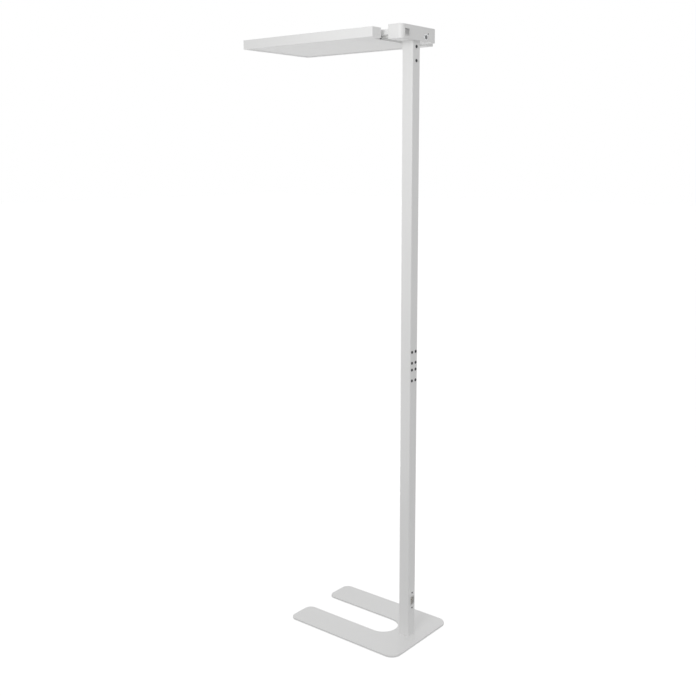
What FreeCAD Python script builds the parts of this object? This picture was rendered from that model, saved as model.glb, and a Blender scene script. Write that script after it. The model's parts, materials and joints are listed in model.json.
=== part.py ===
import FreeCAD, Part
import math
import os

os.makedirs("parts", exist_ok=True)
V = FreeCAD.Vector

# Office floor lamp: a flat U-shaped steel foot, a square two-piece pole, a control housing on the
# pole's top and a flat light panel that reaches forward over the desk.
# Millimetres. +Z is up and z = 0 is the floor. The origin is on the pole's axis. The legs and the
# light panel point towards -Y, and the mains inlet, rocker and button face +Y, the rear.

# ---------------------------------------------------------------- fits and small hardware
press_gap = 0.2            # all round, between a tube and the block or sleeve inside it
seat_gap = 0.3             # between a plate and the walls it drops between
thread_gap = 0.05          # on radius, between a screw's shank and its tapped hole
screw_hole_gap = 0.3       # on radius, between a screw's shank and a plain hole
pivot_gap = 0.05           # on radius, rocker pins and button stem in their bores
cut_past = 1.0             # how far a cutter runs past the face it cuts
hole_spare = 1.0           # how far a tapped hole runs past its screw's tip
dome_share = 0.6           # of a button head's height, taken by its edge round
button_socket_floor = 0.35     # of a button head's height, left under its socket
flat_socket_share = 0.7    # of a countersunk head's height, taken by its socket
least_corner = 0.5         # smallest round of a tube's or shell's inner corner

m5_radius = 2.5
m5_head_radius = 4.75
m5_head_height = 2.75
m5_socket = 3.0            # across flats
m6_radius = 3.0
m6_head_radius = 6.2
m6_head_height = 3.2
m6_socket = 4.0
m4_radius = 2.0
m4_head_radius = 3.8
m4_head_height = 2.2
m4_socket = 2.5
m3_radius = 1.5
m3_head_radius = 2.85
m3_head_height = 1.65
m3_socket = 2.0

# ---------------------------------------------------------------- overall
overall_height = 1950.0

# ---------------------------------------------------------------- foot
base_length = 450.0        # along Y
base_width = 310.0
base_thickness = 6.0
base_behind_axis = 62.0    # from the pole's axis to the rear edge
base_rear_corner = 35.0
leg_tip_corner = 25.0
base_edge_round = 0.8
slot_width = 102.0
slot_to_pole = 29.0        # plate left between the slot's round end and the pole
pad_thickness = 1.0
pad_radius = 12.0
centre_pad_radius = 24.0   # covers the foot screws' heads
pad_edge_inset = 32.0      # from the plate's edges to the pads' centres
foot_block_height = 40.0
foot_screw_pitch = 18.0
foot_screw_length = 22.0

# ---------------------------------------------------------------- pole
pole_side = 38.0
pole_wall = 2.0
pole_corner = 3.0
pole_split_z = 925.0
sleeve_wall = 3.0
sleeve_length = 130.0
joint_screw_columns = 19.4         # between the two columns
joint_screw_near = 11.0            # from the split to the nearer rows
joint_screw_far = 46.0             # from the split to the farther rows
pole_screw_length = 8.0

# ---------------------------------------------------------------- mains inlet, on end in the pole
inlet_z = 132.0
inlet_plate_width = 28.0
inlet_plate_height = 66.0
inlet_plate_thickness = 1.5
inlet_screw_pitch = 53.0
inlet_screw_length = 7.0
inlet_cutout_height = 27.2
inlet_cutout_width = 19.8
inlet_flange_height = 31.0
inlet_flange_width = 23.6
inlet_flange_thickness = 2.0
inlet_body_depth = 17.5            # behind the flange
inlet_socket_height = 24.6
inlet_socket_width = 16.6
inlet_socket_depth = 16.5          # from the flange's face
inlet_socket_chamfer = 4.0
inlet_pin_width = 4.0
inlet_pin_thickness = 2.0
inlet_pin_pitch = 14.0             # line to neutral
inlet_earth_offset = 4.0           # earth blade from the line and neutral blades
inlet_pin_recess = 3.0             # blades' tips below the flange's face
inlet_tab_length = 8.0
boot_wall = 1.2

# ---------------------------------------------------------------- control housing
housing_height = 41.0
housing_width = 178.0
housing_depth = 50.0
housing_behind_axis = 30.0         # from the pole's axis to the rear face
housing_corner = 14.0              # the two rear uprights
housing_front_corner = 2.0
housing_wall = 2.5
housing_floor = 2.0
lid_thickness = 3.0
lid_edge_round = 1.2
lid_boss_radius = 3.5
lid_boss_rise = 4.0                # how far the lid's own bosses reach down
lid_boss_bore_depth = 26.0         # counterbore for the lid screws, from below
lid_screw_length = 11.0
lid_hole_spare = 0.5               # how far the lid's tapped holes run past the screws
lid_boss_rear_inset = 9.0          # from the housing's ends to the rear bosses' axes
lid_boss_rear_offset = 7.5         # from the rear wall's inner face to their axes
lid_boss_front_gap = 6.5           # between the bracket's ends and the front bosses
lid_boss_front_offset = 4.5        # from the front wall's inner face to their axes

# ---------------------------------------------------------------- bracket and spigot in the pole
bracket_width = 100.0
bracket_thickness = 3.0
bracket_upstand_height = 32.0
spigot_length = 75.0
spigot_wall = 3.0
spigot_screw_upper = 16.0          # below the pole's top
spigot_screw_lower = 56.0
bracket_screw_pitch_x = 84.0
bracket_screw_pitch_y = 30.4
bracket_screw_length = 4.6

# ---------------------------------------------------------------- neck between housing and panel
neck_length = 35.0
neck_thickness = 15.5
neck_below_top = 13.0              # neck's top below the overall height
neck_edge_round = 1.0
neck_screw_pitch = 30.0
neck_screw_count = 4
neck_front_screw_shift = 10.0      # front screws stand this far beside the rear ones
neck_rear_screw_length = 20.0
neck_front_screw_length = 16.0

# ---------------------------------------------------------------- light panel
panel_length = 523.0
panel_width = 308.0
panel_thickness = 28.5
panel_bottom_rise = 1.0            # panel's underside above the housing's underside
panel_rear_gap = 7.0               # between the housing's front and the panel's rear end
panel_wall = 2.5
panel_floor = 1.5
panel_corner = 3.0
notch_width = 224.0
window_border = 13.0               # from the panel's sides and front to the light window
window_rear_border = 83.0          # from the panel's rear end to the window
window_ledge = 3.7                 # how far the diffuser overlaps the ledge
cover_thickness = 1.5
diffuser_thickness = 2.0
guide_thickness = 4.0
reflector_thickness = 0.5
tray_thickness = 1.5
tray_side_clear = 2.5              # between the diffuser's edge and the tray's outer side
led_board_thickness = 1.2
led_chip_height = 0.8
led_chip_length = 3.0
led_chip_count = 36
led_guide_gap = 0.5
panel_boss_radius = 3.0
panel_boss_offset = 3.6            # from the side wall's inner face to the boss's axis
panel_web_thickness = 4.8          # web between a boss and the side wall
tray_tab_width = 12.0
tray_boss_y = (60.0, 215.0, 370.0)     # from the window's front edge, towards the rear
cover_boss_y = (12.0, 290.0, 480.0)    # from the panel's front inside face
tray_screw_length = 5.0
cover_screw_length = 8.0

driver_width = 62.0
driver_length = 210.0
driver_height = 15.0
driver_set_back = 12.0             # from the tray's rear edge to the driver
driver_foot_length = 9.0
driver_foot_thickness = 1.5
driver_screw_length = 3.0

# ---------------------------------------------------------------- wiring
mains_lead_radius = 3.25
mains_lead_bend = 19.5
mains_lead_y = -2.0
mains_entry_below_top = 14.0       # below the overall height
head_lead_radius = 2.5
head_lead_bend = 20.0
head_lead_inset = 11.0             # from the housing's end to the lead
head_lead_above_floor = 5.7
head_lead_turn_y = 5.0
head_lead_in_panel = 27.0          # from the notch's wall to the lead's turn
grommet_body_radius = 3.6
grommet_flange_radius = 4.6
grommet_flange = 1.5
grommet_hole_gap = 0.1
wire_radius = 1.0
led_wire_radius = 0.8
led_wire_bend = 8.0
led_lead_inset = 4.0               # from the driver's side to the lead
led_lead_drop = 2.4                # below the driver's top
led_lead_run = 2.0                 # straight run between the two bends
driver_lead_inset = 1.5            # from the terminal's side to the first lead
driver_lead_pitch = 3.0
board_lead_drops = (3.0, 7.0)      # below the board's top

terminal_width = 26.0
terminal_y0 = -6.0
terminal_depth = 20.0
terminal_height = 28.0
panel_terminal_depth = 18.0
panel_terminal_height = 17.0
terminal_well_radius = 2.2
terminal_well_depth = 6.0
terminal_poles = 3

# ---------------------------------------------------------------- controls in the rear face
rocker_inset = 24.5                # from the housing's end to the rocker's middle
rocker_below_top = 22.0            # below the overall height
rocker_bezel_width = 24.0
rocker_bezel_height = 21.0
rocker_bezel_thickness = 1.8
rocker_body_width = 22.0
rocker_body_height = 19.2
rocker_body_depth = 16.0
rocker_cavity_width = 19.6
rocker_cavity_height = 17.4
rocker_floor = 3.0
rocker_width = 19.2
rocker_height = 14.8
rocker_pin_radius = 1.2
rocker_pin_reach = 0.8             # into each side wall
rocker_pivot_depth = 3.5           # behind the housing's rear face
rocker_crest = 3.0                 # rocker's ends above the housing's rear face, level
rocker_dip = 1.8                   # its middle lies this much lower
rocker_waist_depth = 1.3           # its inner side below the housing's rear face
rocker_waist_inset = 1.0           # and that much shorter at each end
rocker_tilt = 9.0                  # degrees each side of level
rocker_hub_radius = 2.6
rocker_tab_width = 4.8
rocker_tab_thickness = 0.8
rocker_tab_length = 8.0
rocker_tab_seat = 2.0              # how far a tab reaches into the body's floor
rocker_tab_columns = 11.0
rocker_tab_rows = 7.0

button_board_inset = 18.3          # from the board's inner end to the button
button_below_top = 28.5            # below the overall height
button_radius = 5.7
button_proud = 2.0
button_round = 0.6
button_collar_radius = 6.8
button_collar_thickness = 1.5
button_stem_radius = 1.6
button_travel = 1.2
button_side_gap = 0.15
button_bezel_radius = 9.0
button_bezel_thickness = 1.4
button_sleeve_wall = 1.0
button_sleeve_length = 4.5
button_sleeve_hole_gap = 0.1

board_inset = 23.0                 # from the housing's end to the board
board_width = 52.0
board_rise = 4.5                   # above the housing's inside floor
board_drop = 1.5                   # below the housing walls' top
board_thickness = 1.6
board_behind_face = 16.0           # board's rear side from the housing's rear face
board_post_radius = 2.8
board_post_inset = 4.5
board_screw_length = 7.0
switch_side = 9.0
switch_height = 3.6
spring_mean_radius = 3.4
spring_wire_radius = 0.3
spring_turns = 4

indicator_from_button_x = 12.2     # towards the housing's end
indicator_from_button_z = 10.5     # upwards
indicator_radius = 2.0
indicator_proud = 0.5
indicator_round = 0.4
indicator_led_side = 2.4
indicator_led_height = 0.9

# ---------------------------------------------------------------- worked-out levels and faces
base_bottom = pad_thickness
base_top = base_bottom + base_thickness
base_rear = base_behind_axis
base_front = base_rear - base_length
pole_half = pole_side / 2
bore_half = pole_half - pole_wall
slot_end = -pole_half - slot_to_pole
pole_top = overall_height - housing_height
sleeve_half = bore_half - press_gap

housing_bottom = pole_top
housing_top_of_walls = overall_height - lid_thickness
housing_side = housing_width / 2
housing_rear = housing_behind_axis
housing_front = housing_rear - housing_depth
housing_inside_floor = housing_bottom + housing_floor
housing_inside_rear = housing_rear - housing_wall
housing_inside_front = housing_front + housing_wall
bracket_top = housing_inside_floor + bracket_thickness
bracket_side = bracket_width / 2
bracket_front = housing_inside_front + seat_gap
upstand_rear = bracket_front + bracket_thickness
lead_z = housing_inside_floor + head_lead_above_floor
head_lead_x = housing_side - head_lead_inset
mains_entry_z = overall_height - mains_entry_below_top

neck_top = overall_height - neck_below_top
neck_bottom = neck_top - neck_thickness
neck_middle = (neck_top + neck_bottom) / 2
notch_wall = housing_front - neck_length

panel_bottom = housing_bottom + panel_bottom_rise
panel_top = panel_bottom + panel_thickness
panel_rear = housing_front - panel_rear_gap
panel_front = panel_rear - panel_length
panel_side = panel_width / 2
notch_side = notch_width / 2
panel_inside_front = panel_front + panel_wall
panel_inside_side = panel_side - panel_wall
panel_inside_notch = notch_wall - panel_wall
panel_inside_floor = panel_bottom + panel_floor
cover_bottom = panel_top - cover_thickness

window_side = panel_side - window_border
window_front = panel_front + window_border
window_rear = panel_rear - window_rear_border
diffuser_side = window_side + window_ledge
diffuser_front = window_front - window_ledge
diffuser_rear = window_rear + window_ledge
diffuser_top = panel_inside_floor + diffuser_thickness
guide_top = diffuser_top + guide_thickness
reflector_top = guide_top + reflector_thickness
tray_top = reflector_top + tray_thickness
tray_side = diffuser_side - tray_side_clear
led_board_outer = tray_side - tray_thickness
led_board_inner = led_board_outer - led_board_thickness
guide_side = led_board_inner - led_chip_height - led_guide_gap
panel_boss_x = panel_inside_side - panel_boss_offset

inlet_face = pole_half + inlet_plate_thickness + inlet_flange_thickness
inlet_back = inlet_face - inlet_flange_thickness - inlet_body_depth
boot_back = inlet_back - inlet_tab_length - boot_wall
board_rear = housing_rear - board_behind_face
board_front = board_rear - board_thickness
board_x0 = board_inset - housing_side
board_x1 = board_x0 + board_width
board_z0 = housing_inside_floor + board_rise
board_z1 = housing_top_of_walls - board_drop
button_x = board_x1 - button_board_inset
button_z = overall_height - button_below_top
indicator_x = button_x - indicator_from_button_x
indicator_z = button_z + indicator_from_button_z
switch_top = board_rear + switch_height
rocker_x = housing_side - rocker_inset
rocker_z = overall_height - rocker_below_top
rocker_back = housing_rear - rocker_body_depth
rocker_pivot_y = housing_rear - rocker_pivot_depth
sleeve_end = housing_rear - button_sleeve_length
terminal_x1 = bracket_side
terminal_x0 = terminal_x1 - terminal_width
panel_turn_y = notch_wall - head_lead_in_panel
panel_terminal_y0 = panel_turn_y - panel_terminal_depth / 2
panel_terminal_y1 = panel_turn_y + panel_terminal_depth / 2


# ---------------------------------------------------------------- helpers
def block(x0, x1, y0, y1, z0, z1):
    return Part.makeBox(x1 - x0, y1 - y0, z1 - z0, V(x0, y0, z0))


def rod(radius, start, end):
    along = end.sub(start)
    return Part.makeCylinder(radius, along.Length, start, along)


def ring(outer, inner, start, end):
    return rod(outer, start, end).cut(rod(inner, start, end))


def prism(corners, z0, z1):
    points = [V(x, y, z0) for x, y in corners]
    face = Part.Face(Part.makePolygon(points + points[:1]))
    return face.extrude(V(0, 0, z1 - z0))


def round_uprights(solid, radius, wanted=lambda point: True):
    """Round the vertical edges whose middle passes the test."""
    edges = []
    for edge in solid.Edges:
        ends = [vertex.Point for vertex in edge.Vertexes]
        if len(ends) == 2 and isinstance(edge.Curve, Part.Line):
            upright = abs(ends[0].x - ends[1].x) < 1e-6 and abs(ends[0].y - ends[1].y) < 1e-6
            if upright and wanted(ends[0]):
                edges.append(edge)
    return solid.makeFillet(radius, edges)


def round_rim(solid, radius, z):
    """Round every edge that lies in the level z."""
    boxes = [(edge, edge.BoundBox) for edge in solid.Edges]
    edges = [edge for edge, box in boxes if abs(box.ZMin - z) < 1e-6 and abs(box.ZMax - z) < 1e-6]
    return solid.makeFillet(radius, edges)


def mirrored(x_values):
    return [sign * x for x in x_values for sign in (-1, 1)]


def turned(shape, seat, direction):
    """Put a shape made along +Z on a seat, so that +Z points in the direction."""
    placed = shape.copy()
    placed.Placement = FreeCAD.Placement(seat, FreeCAD.Rotation(V(0, 0, 1), direction))
    return placed


def hexagon(across_flats, z0, z1):
    corner = across_flats / math.sqrt(3)
    angles = [math.radians(60 * step) for step in range(6)]
    return prism([(corner * math.cos(a), corner * math.sin(a)) for a in angles], z0, z1)


def button_screw(radius, head_radius, head_height, socket, length, seat, direction):
    """Screw with a domed head on the seat and its shank along the direction."""
    head = Part.makeCylinder(head_radius, head_height, V(0, 0, -head_height))
    head = round_rim(head, head_height * dome_share, -head_height)
    head = head.cut(hexagon(socket, -head_height, -head_height * button_socket_floor))
    shank = Part.makeCylinder(radius, length)
    return turned(head.fuse(shank).removeSplitter(), seat, direction)


def flat_screw(radius, head_radius, head_height, socket, length, seat, direction):
    """Countersunk screw whose head is flush with the seat."""
    head = Part.makeCone(head_radius, radius, head_height)
    shank = Part.makeCylinder(radius, length)
    whole = head.fuse(shank).removeSplitter().cut(hexagon(socket, 0, head_height * flat_socket_share))
    return turned(whole, seat, direction)


def flat_screw_hole(radius, head_radius, head_height, depth, seat, direction, gap):
    cone = Part.makeCone(head_radius + gap, radius + gap, head_height)
    return turned(cone.fuse(Part.makeCylinder(radius + gap, depth)), seat, direction)


def route(points, bend):
    """Straight runs joined by tangent arcs of one bend radius."""
    edges = []
    start = points[0]
    for before, corner, after in zip(points, points[1:], points[2:]):
        arrive = corner.sub(before)
        arrive.normalize()
        leave = after.sub(corner)
        leave.normalize()
        turn = arrive.getAngle(leave)
        back = bend * math.tan(turn / 2)
        tangent_in = corner.sub(V(arrive).multiply(back))
        tangent_out = corner.add(V(leave).multiply(back))
        inward = V(leave).sub(arrive)
        inward.normalize()
        middle = corner.add(inward.multiply(bend / math.cos(turn / 2) - bend))
        if start.distanceToPoint(tangent_in) > 1e-6:
            edges.append(Part.LineSegment(start, tangent_in).toShape())
        edges.append(Part.Arc(tangent_in, middle, tangent_out).toShape())
        start = tangent_out
    edges.append(Part.LineSegment(start, points[-1]).toShape())
    return Part.Wire(edges)


def lead(name, points, radius, bend):
    path = route(points, bend)
    profile = Part.Wire([Part.makeCircle(radius, points[0], points[1].sub(points[0]))])
    solid = path.makePipeShell([profile], True, False)
    diameters = bend / (2 * radius)
    print(f"{name}: {path.Length:.1f} mm long, bend radius {bend:.1f} mm, {diameters:.1f} diameters")
    print(f"   volume over section times length {solid.Volume / (math.pi * radius ** 2 * path.Length):.4f}")
    return solid


def save(name, *shapes):
    Part.makeCompound(list(shapes)).exportStep(f"parts/{name}.step")


# ---------------------------------------------------------------- foot
def foot_screw_places():
    half = foot_screw_pitch / 2
    return [V(x, y, base_bottom) for x in (-half, half) for y in (-half, half)]


def base_plate():
    plate = block(-base_width / 2, base_width / 2, base_front, base_rear, base_bottom, base_top)
    plate = round_uprights(plate, base_rear_corner, lambda p: p.y > 0)
    end_radius = slot_width / 2
    end_centre = slot_end - end_radius
    slot = block(-end_radius, end_radius, base_front - cut_past, end_centre, base_bottom, base_top)
    slot = slot.fuse(rod(end_radius, V(0, end_centre, base_bottom), V(0, end_centre, base_top)))
    plate = plate.cut(slot)
    plate = round_uprights(plate, leg_tip_corner, lambda p: abs(p.y - base_front) < 1e-6)
    plate = round_rim(plate, base_edge_round, base_top)
    for place in foot_screw_places():
        plate = plate.cut(flat_screw_hole(m6_radius, m6_head_radius, m6_head_height, base_thickness,
                                          place, V(0, 0, 1), screw_hole_gap))
    return plate


def base_pads():
    x = base_width / 2 - pad_edge_inset
    middle = (base_front + base_rear) / 2
    rows = (base_front + pad_edge_inset, middle, base_rear - pad_edge_inset)
    pads = [rod(pad_radius, V(side * x, y, 0), V(side * x, y, pad_thickness))
            for side in (-1, 1) for y in rows]
    return pads + [rod(centre_pad_radius, V(0, 0, 0), V(0, 0, pad_thickness))]


def foot_block():
    top = base_top + foot_block_height
    solid = block(-sleeve_half, sleeve_half, -sleeve_half, sleeve_half, base_top, top)
    solid = round_uprights(solid, pole_corner - pole_wall + press_gap)
    for place in foot_screw_places():
        tip = place.add(V(0, 0, foot_screw_length + hole_spare))
        solid = solid.cut(rod(m6_radius + thread_gap, place, tip))
    return solid


def foot_screws():
    return [flat_screw(m6_radius, m6_head_radius, m6_head_height, m6_socket, foot_screw_length,
                       place, V(0, 0, 1)) for place in foot_screw_places()]


# ---------------------------------------------------------------- pole
def square_tube(half, wall, corner, z0, z1):
    outer = round_uprights(block(-half, half, -half, half, z0, z1), corner)
    inner_half = half - wall
    inner = block(-inner_half, inner_half, -inner_half, inner_half, z0, z1)
    return outer.cut(round_uprights(inner, max(corner - wall, least_corner)))


def joint_rows():
    return [pole_split_z + offset for offset in
            (-joint_screw_far, -joint_screw_near, joint_screw_near, joint_screw_far)]


def joint_places():
    return [V(x, pole_half, z) for z in joint_rows() for x in mirrored([joint_screw_columns / 2])]


def spigot_places():
    return [V(0, pole_half, pole_top - drop) for drop in (spigot_screw_upper, spigot_screw_lower)]


def inlet_screw_places():
    y = pole_half + inlet_plate_thickness
    return [V(0, y, inlet_z + side * inlet_screw_pitch / 2) for side in (-1, 1)]


def drilled_from_rear(solid, places, radius, depth):
    for place in places:
        outside = V(place.x, place.y + cut_past, place.z)
        solid = solid.cut(rod(radius, outside, V(place.x, place.y - depth, place.z)))
    return solid


def inlet_cutout(gap, y0, y1):
    half_x = inlet_cutout_width / 2 + gap
    half_z = inlet_cutout_height / 2 + gap
    return block(-half_x, half_x, y0, y1, inlet_z - half_z, inlet_z + half_z)


def lower_pole():
    tube = square_tube(pole_half, pole_wall, pole_corner, base_top, pole_split_z)
    rows = [place for place in joint_places() if place.z < pole_split_z]
    tube = drilled_from_rear(tube, rows, m5_radius + screw_hole_gap, pole_wall)
    tube = drilled_from_rear(tube, inlet_screw_places(), m3_radius + thread_gap, inlet_screw_length)
    return tube.cut(inlet_cutout(seat_gap, bore_half - cut_past, pole_half + cut_past))


def upper_pole():
    tube = square_tube(pole_half, pole_wall, pole_corner, pole_split_z, pole_top)
    rows = [place for place in joint_places() if place.z > pole_split_z]
    return drilled_from_rear(tube, rows + spigot_places(), m5_radius + screw_hole_gap, pole_wall)


def joint_sleeve():
    low = pole_split_z - sleeve_length / 2
    corner = pole_corner - pole_wall + press_gap
    tube = square_tube(sleeve_half, sleeve_wall, corner, low, low + sleeve_length)
    return drilled_from_rear(tube, joint_places(), m5_radius + thread_gap, pole_screw_length + hole_spare)


def pole_screws(places):
    return [button_screw(m5_radius, m5_head_radius, m5_head_height, m5_socket, pole_screw_length,
                         place, V(0, -1, 0)) for place in places]


# ---------------------------------------------------------------- mains inlet
def inlet_plate():
    half_x = inlet_plate_width / 2
    half_z = inlet_plate_height / 2
    front = pole_half + inlet_plate_thickness
    plate = block(-half_x, half_x, pole_half, front, inlet_z - half_z, inlet_z + half_z)
    plate = plate.cut(inlet_cutout(seat_gap, pole_half, front))
    return drilled_from_rear(plate, inlet_screw_places(), m3_radius + screw_hole_gap, inlet_plate_thickness)


def inlet_screws():
    return [button_screw(m3_radius, m3_head_radius, m3_head_height, m3_socket, inlet_screw_length,
                         place, V(0, -1, 0)) for place in inlet_screw_places()]


def inlet_blades():
    """Centre (x, z) of the earth, line and neutral blades."""
    half_offset = inlet_earth_offset / 2
    half_pitch = inlet_pin_pitch / 2
    return [(-half_offset, inlet_z), (half_offset, inlet_z - half_pitch), (half_offset, inlet_z + half_pitch)]


def blade(x, z, y0, y1, gap):
    half_x = inlet_pin_width / 2 + gap
    half_z = inlet_pin_thickness / 2 + gap
    return block(x - half_x, x + half_x, y0, y1, z - half_z, z + half_z)


def inlet_body():
    flange_y0 = inlet_face - inlet_flange_thickness
    half_x = inlet_flange_width / 2
    half_z = inlet_flange_height / 2
    flange = block(-half_x, half_x, flange_y0, inlet_face, inlet_z - half_z, inlet_z + half_z)
    body = flange.fuse(inlet_cutout(0, inlet_back, flange_y0)).removeSplitter()
    half_x = inlet_socket_width / 2
    half_z = inlet_socket_height / 2
    cut = inlet_socket_chamfer
    outline = [(-half_x + cut, -half_z), (half_x, -half_z), (half_x, half_z), (-half_x + cut, half_z),
               (-half_x, half_z - cut), (-half_x, -half_z + cut)]
    bottom = inlet_face - inlet_socket_depth
    points = [V(x, bottom, inlet_z + z) for x, z in outline]
    socket = Part.Face(Part.makePolygon(points + points[:1])).extrude(V(0, inlet_socket_depth, 0))
    body = body.cut(socket)
    for x, z in inlet_blades():
        body = body.cut(blade(x, z, inlet_back, bottom, thread_gap))
    return body


def inlet_pins():
    tip = inlet_face - inlet_pin_recess
    return [blade(x, z, inlet_back - inlet_tab_length, tip, 0) for x, z in inlet_blades()]


def inlet_boot():
    """Cover over the inlet's tabs, which the lead leaves at the top."""
    half_x = inlet_cutout_width / 2
    half_z = inlet_cutout_height / 2 + boot_wall
    cover = block(-half_x, half_x, boot_back, inlet_back, inlet_z - half_z, inlet_z + half_z)
    for x, z in inlet_blades():
        cover = cover.cut(blade(x, z, inlet_back - inlet_tab_length, inlet_back, thread_gap))
    return cover


def mains_lead():
    low = inlet_z + inlet_cutout_height / 2 + boot_wall
    points = [V(0, mains_lead_y, low), V(0, mains_lead_y, mains_entry_z),
              V(terminal_x0, mains_lead_y, mains_entry_z)]
    return lead("mains_lead", points, mains_lead_radius, mains_lead_bend)


# ---------------------------------------------------------------- bracket that carries the panel
def bracket_screw_places():
    middle = (bracket_front + housing_inside_rear) / 2
    return [V(x, middle + y, bracket_top) for x in mirrored([bracket_screw_pitch_x / 2])
            for y in mirrored([bracket_screw_pitch_y / 2])]


def neck_screw_x():
    first = -neck_screw_pitch * (neck_screw_count - 1) / 2
    return [first + neck_screw_pitch * step for step in range(neck_screw_count)]


def head_bracket():
    plate = block(-bracket_side, bracket_side, bracket_front, housing_inside_rear - seat_gap,
                  housing_inside_floor, bracket_top)
    upstand = block(-bracket_side, bracket_side, bracket_front, upstand_rear,
                    housing_inside_floor, housing_inside_floor + bracket_upstand_height)
    low = pole_top - spigot_length
    bore = sleeve_half - spigot_wall
    plate = plate.cut(block(-bore, bore, -bore, bore, housing_inside_floor, bracket_top))
    corner = pole_corner - pole_wall + press_gap
    spigot = square_tube(sleeve_half, spigot_wall, corner, low, housing_inside_floor)
    depth = pole_screw_length + hole_spare
    spigot = drilled_from_rear(spigot, spigot_places(), m5_radius + thread_gap, depth)
    solid = plate.fuse(upstand).fuse(spigot).removeSplitter()
    for x in neck_screw_x():
        solid = solid.cut(rod(m5_radius + screw_hole_gap, V(x, bracket_front, neck_middle),
                              V(x, upstand_rear, neck_middle)))
    for place in bracket_screw_places():
        solid = solid.cut(rod(m4_radius + screw_hole_gap, V(place.x, place.y, housing_inside_floor), place))
    return solid


def bracket_screws():
    return [button_screw(m4_radius, m4_head_radius, m4_head_height, m4_socket, bracket_screw_length,
                         place, V(0, 0, -1)) for place in bracket_screw_places()]


# ---------------------------------------------------------------- housing
def housing_outline(z0, z1, inset):
    side = housing_side - inset
    solid = block(-side, side, housing_front + inset, housing_rear - inset, z0, z1)
    solid = round_uprights(solid, housing_corner - inset, lambda p: p.y > 0)
    return round_uprights(solid, max(housing_front_corner - inset, least_corner), lambda p: p.y < 0)


def lid_boss_places():
    rear_x = housing_side - lid_boss_rear_inset
    rear_y = housing_inside_rear - lid_boss_rear_offset
    front_x = bracket_side + lid_boss_front_gap + lid_boss_radius
    front_y = housing_inside_front + lid_boss_front_offset
    return [(x, rear_y) for x in mirrored([rear_x])] + [(x, front_y) for x in mirrored([front_x])]


def board_post_places():
    xs = (board_x0 + board_post_inset, board_x1 - board_post_inset)
    zs = (board_z0 + board_post_inset, board_z1 - board_post_inset)
    return [(x, z) for x in xs for z in zs]


def rear_opening(x, z, width, height, gap):
    half_x = width / 2 + gap
    half_z = height / 2 + gap
    return block(x - half_x, x + half_x, housing_inside_rear - cut_past, housing_rear + cut_past,
                 z - half_z, z + half_z)


def housing_shell():
    shell = housing_outline(housing_bottom, housing_top_of_walls, 0)
    shell = shell.cut(housing_outline(housing_inside_floor, housing_top_of_walls, housing_wall))
    boss_top = housing_top_of_walls - lid_boss_rise
    for x, y in lid_boss_places():
        shell = shell.fuse(rod(lid_boss_radius, V(x, y, housing_bottom), V(x, y, boss_top)))
    for x, z in board_post_places():
        shell = shell.fuse(rod(board_post_radius, V(x, board_rear, z), V(x, housing_rear, z)))
    for x, y in lid_boss_places():
        shell = shell.cut(rod(m3_radius + screw_hole_gap, V(x, y, housing_bottom), V(x, y, boss_top)))
        shell = shell.cut(rod(m3_head_radius + thread_gap, V(x, y, housing_bottom),
                              V(x, y, housing_bottom + lid_boss_bore_depth)))
    for x, z in board_post_places():
        tip = V(x, board_front + board_screw_length + hole_spare, z)
        shell = shell.cut(rod(m3_radius + thread_gap, V(x, board_rear, z), tip))
    shell = shell.cut(block(-bore_half, bore_half, -bore_half, bore_half,
                            housing_bottom, housing_inside_floor))
    for x in neck_screw_x():
        shell = shell.cut(rod(m5_radius + screw_hole_gap, V(x, housing_front, neck_middle),
                              V(x, housing_inside_front, neck_middle)))
    for place in bracket_screw_places():
        shell = shell.cut(rod(m4_radius + thread_gap, V(place.x, place.y, housing_bottom), place))
    shell = shell.cut(rod(grommet_body_radius + grommet_hole_gap, V(head_lead_x, housing_front, lead_z),
                          V(head_lead_x, housing_inside_front, lead_z)))
    shell = shell.cut(rear_opening(rocker_x, rocker_z, rocker_body_width, rocker_body_height,
                                   screw_hole_gap))
    sleeve_radius = button_radius + button_side_gap + button_sleeve_wall + button_sleeve_hole_gap
    shell = shell.cut(rod(sleeve_radius, at_button(housing_inside_rear), at_button(housing_rear)))
    shell = shell.cut(rod(indicator_radius + thread_gap, V(indicator_x, housing_inside_rear, indicator_z),
                          V(indicator_x, housing_rear, indicator_z)))
    return shell.removeSplitter()


def housing_lid():
    lid = housing_outline(housing_top_of_walls, overall_height, 0)
    lid = round_rim(lid, lid_edge_round, overall_height)
    for x, y in lid_boss_places():
        low = housing_top_of_walls - lid_boss_rise
        lid = lid.fuse(rod(lid_boss_radius, V(x, y, low), V(x, y, housing_top_of_walls)))
    for x, y in lid_boss_places():
        top = housing_bottom + lid_boss_bore_depth + lid_screw_length + lid_hole_spare
        lid = lid.cut(rod(m3_radius + thread_gap, V(x, y, housing_bottom), V(x, y, top)))
    return lid.removeSplitter()


def lid_screws():
    z = housing_bottom + lid_boss_bore_depth
    return [button_screw(m3_radius, m3_head_radius, m3_head_height, m3_socket, lid_screw_length,
                         V(x, y, z), V(0, 0, 1)) for x, y in lid_boss_places()]


# ---------------------------------------------------------------- neck
def neck_bar():
    bar = block(-housing_side, housing_side, notch_wall, housing_front, neck_bottom, neck_top)
    long_edges = [e for e in bar.Edges if e.BoundBox.YLength > neck_length / 2]
    bar = bar.makeFillet(neck_edge_round, long_edges)
    rear_tip = upstand_rear - neck_rear_screw_length - hole_spare
    front_tip = panel_inside_notch + neck_front_screw_length + hole_spare
    for x in neck_screw_x():
        bar = bar.cut(rod(m5_radius + thread_gap, V(x, rear_tip, neck_middle),
                          V(x, housing_front, neck_middle)))
    for x in neck_front_screw_x():
        bar = bar.cut(rod(m5_radius + thread_gap, V(x, notch_wall, neck_middle),
                          V(x, front_tip, neck_middle)))
    return bar


def neck_front_screw_x():
    return [x + neck_front_screw_shift for x in neck_screw_x()]


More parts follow.
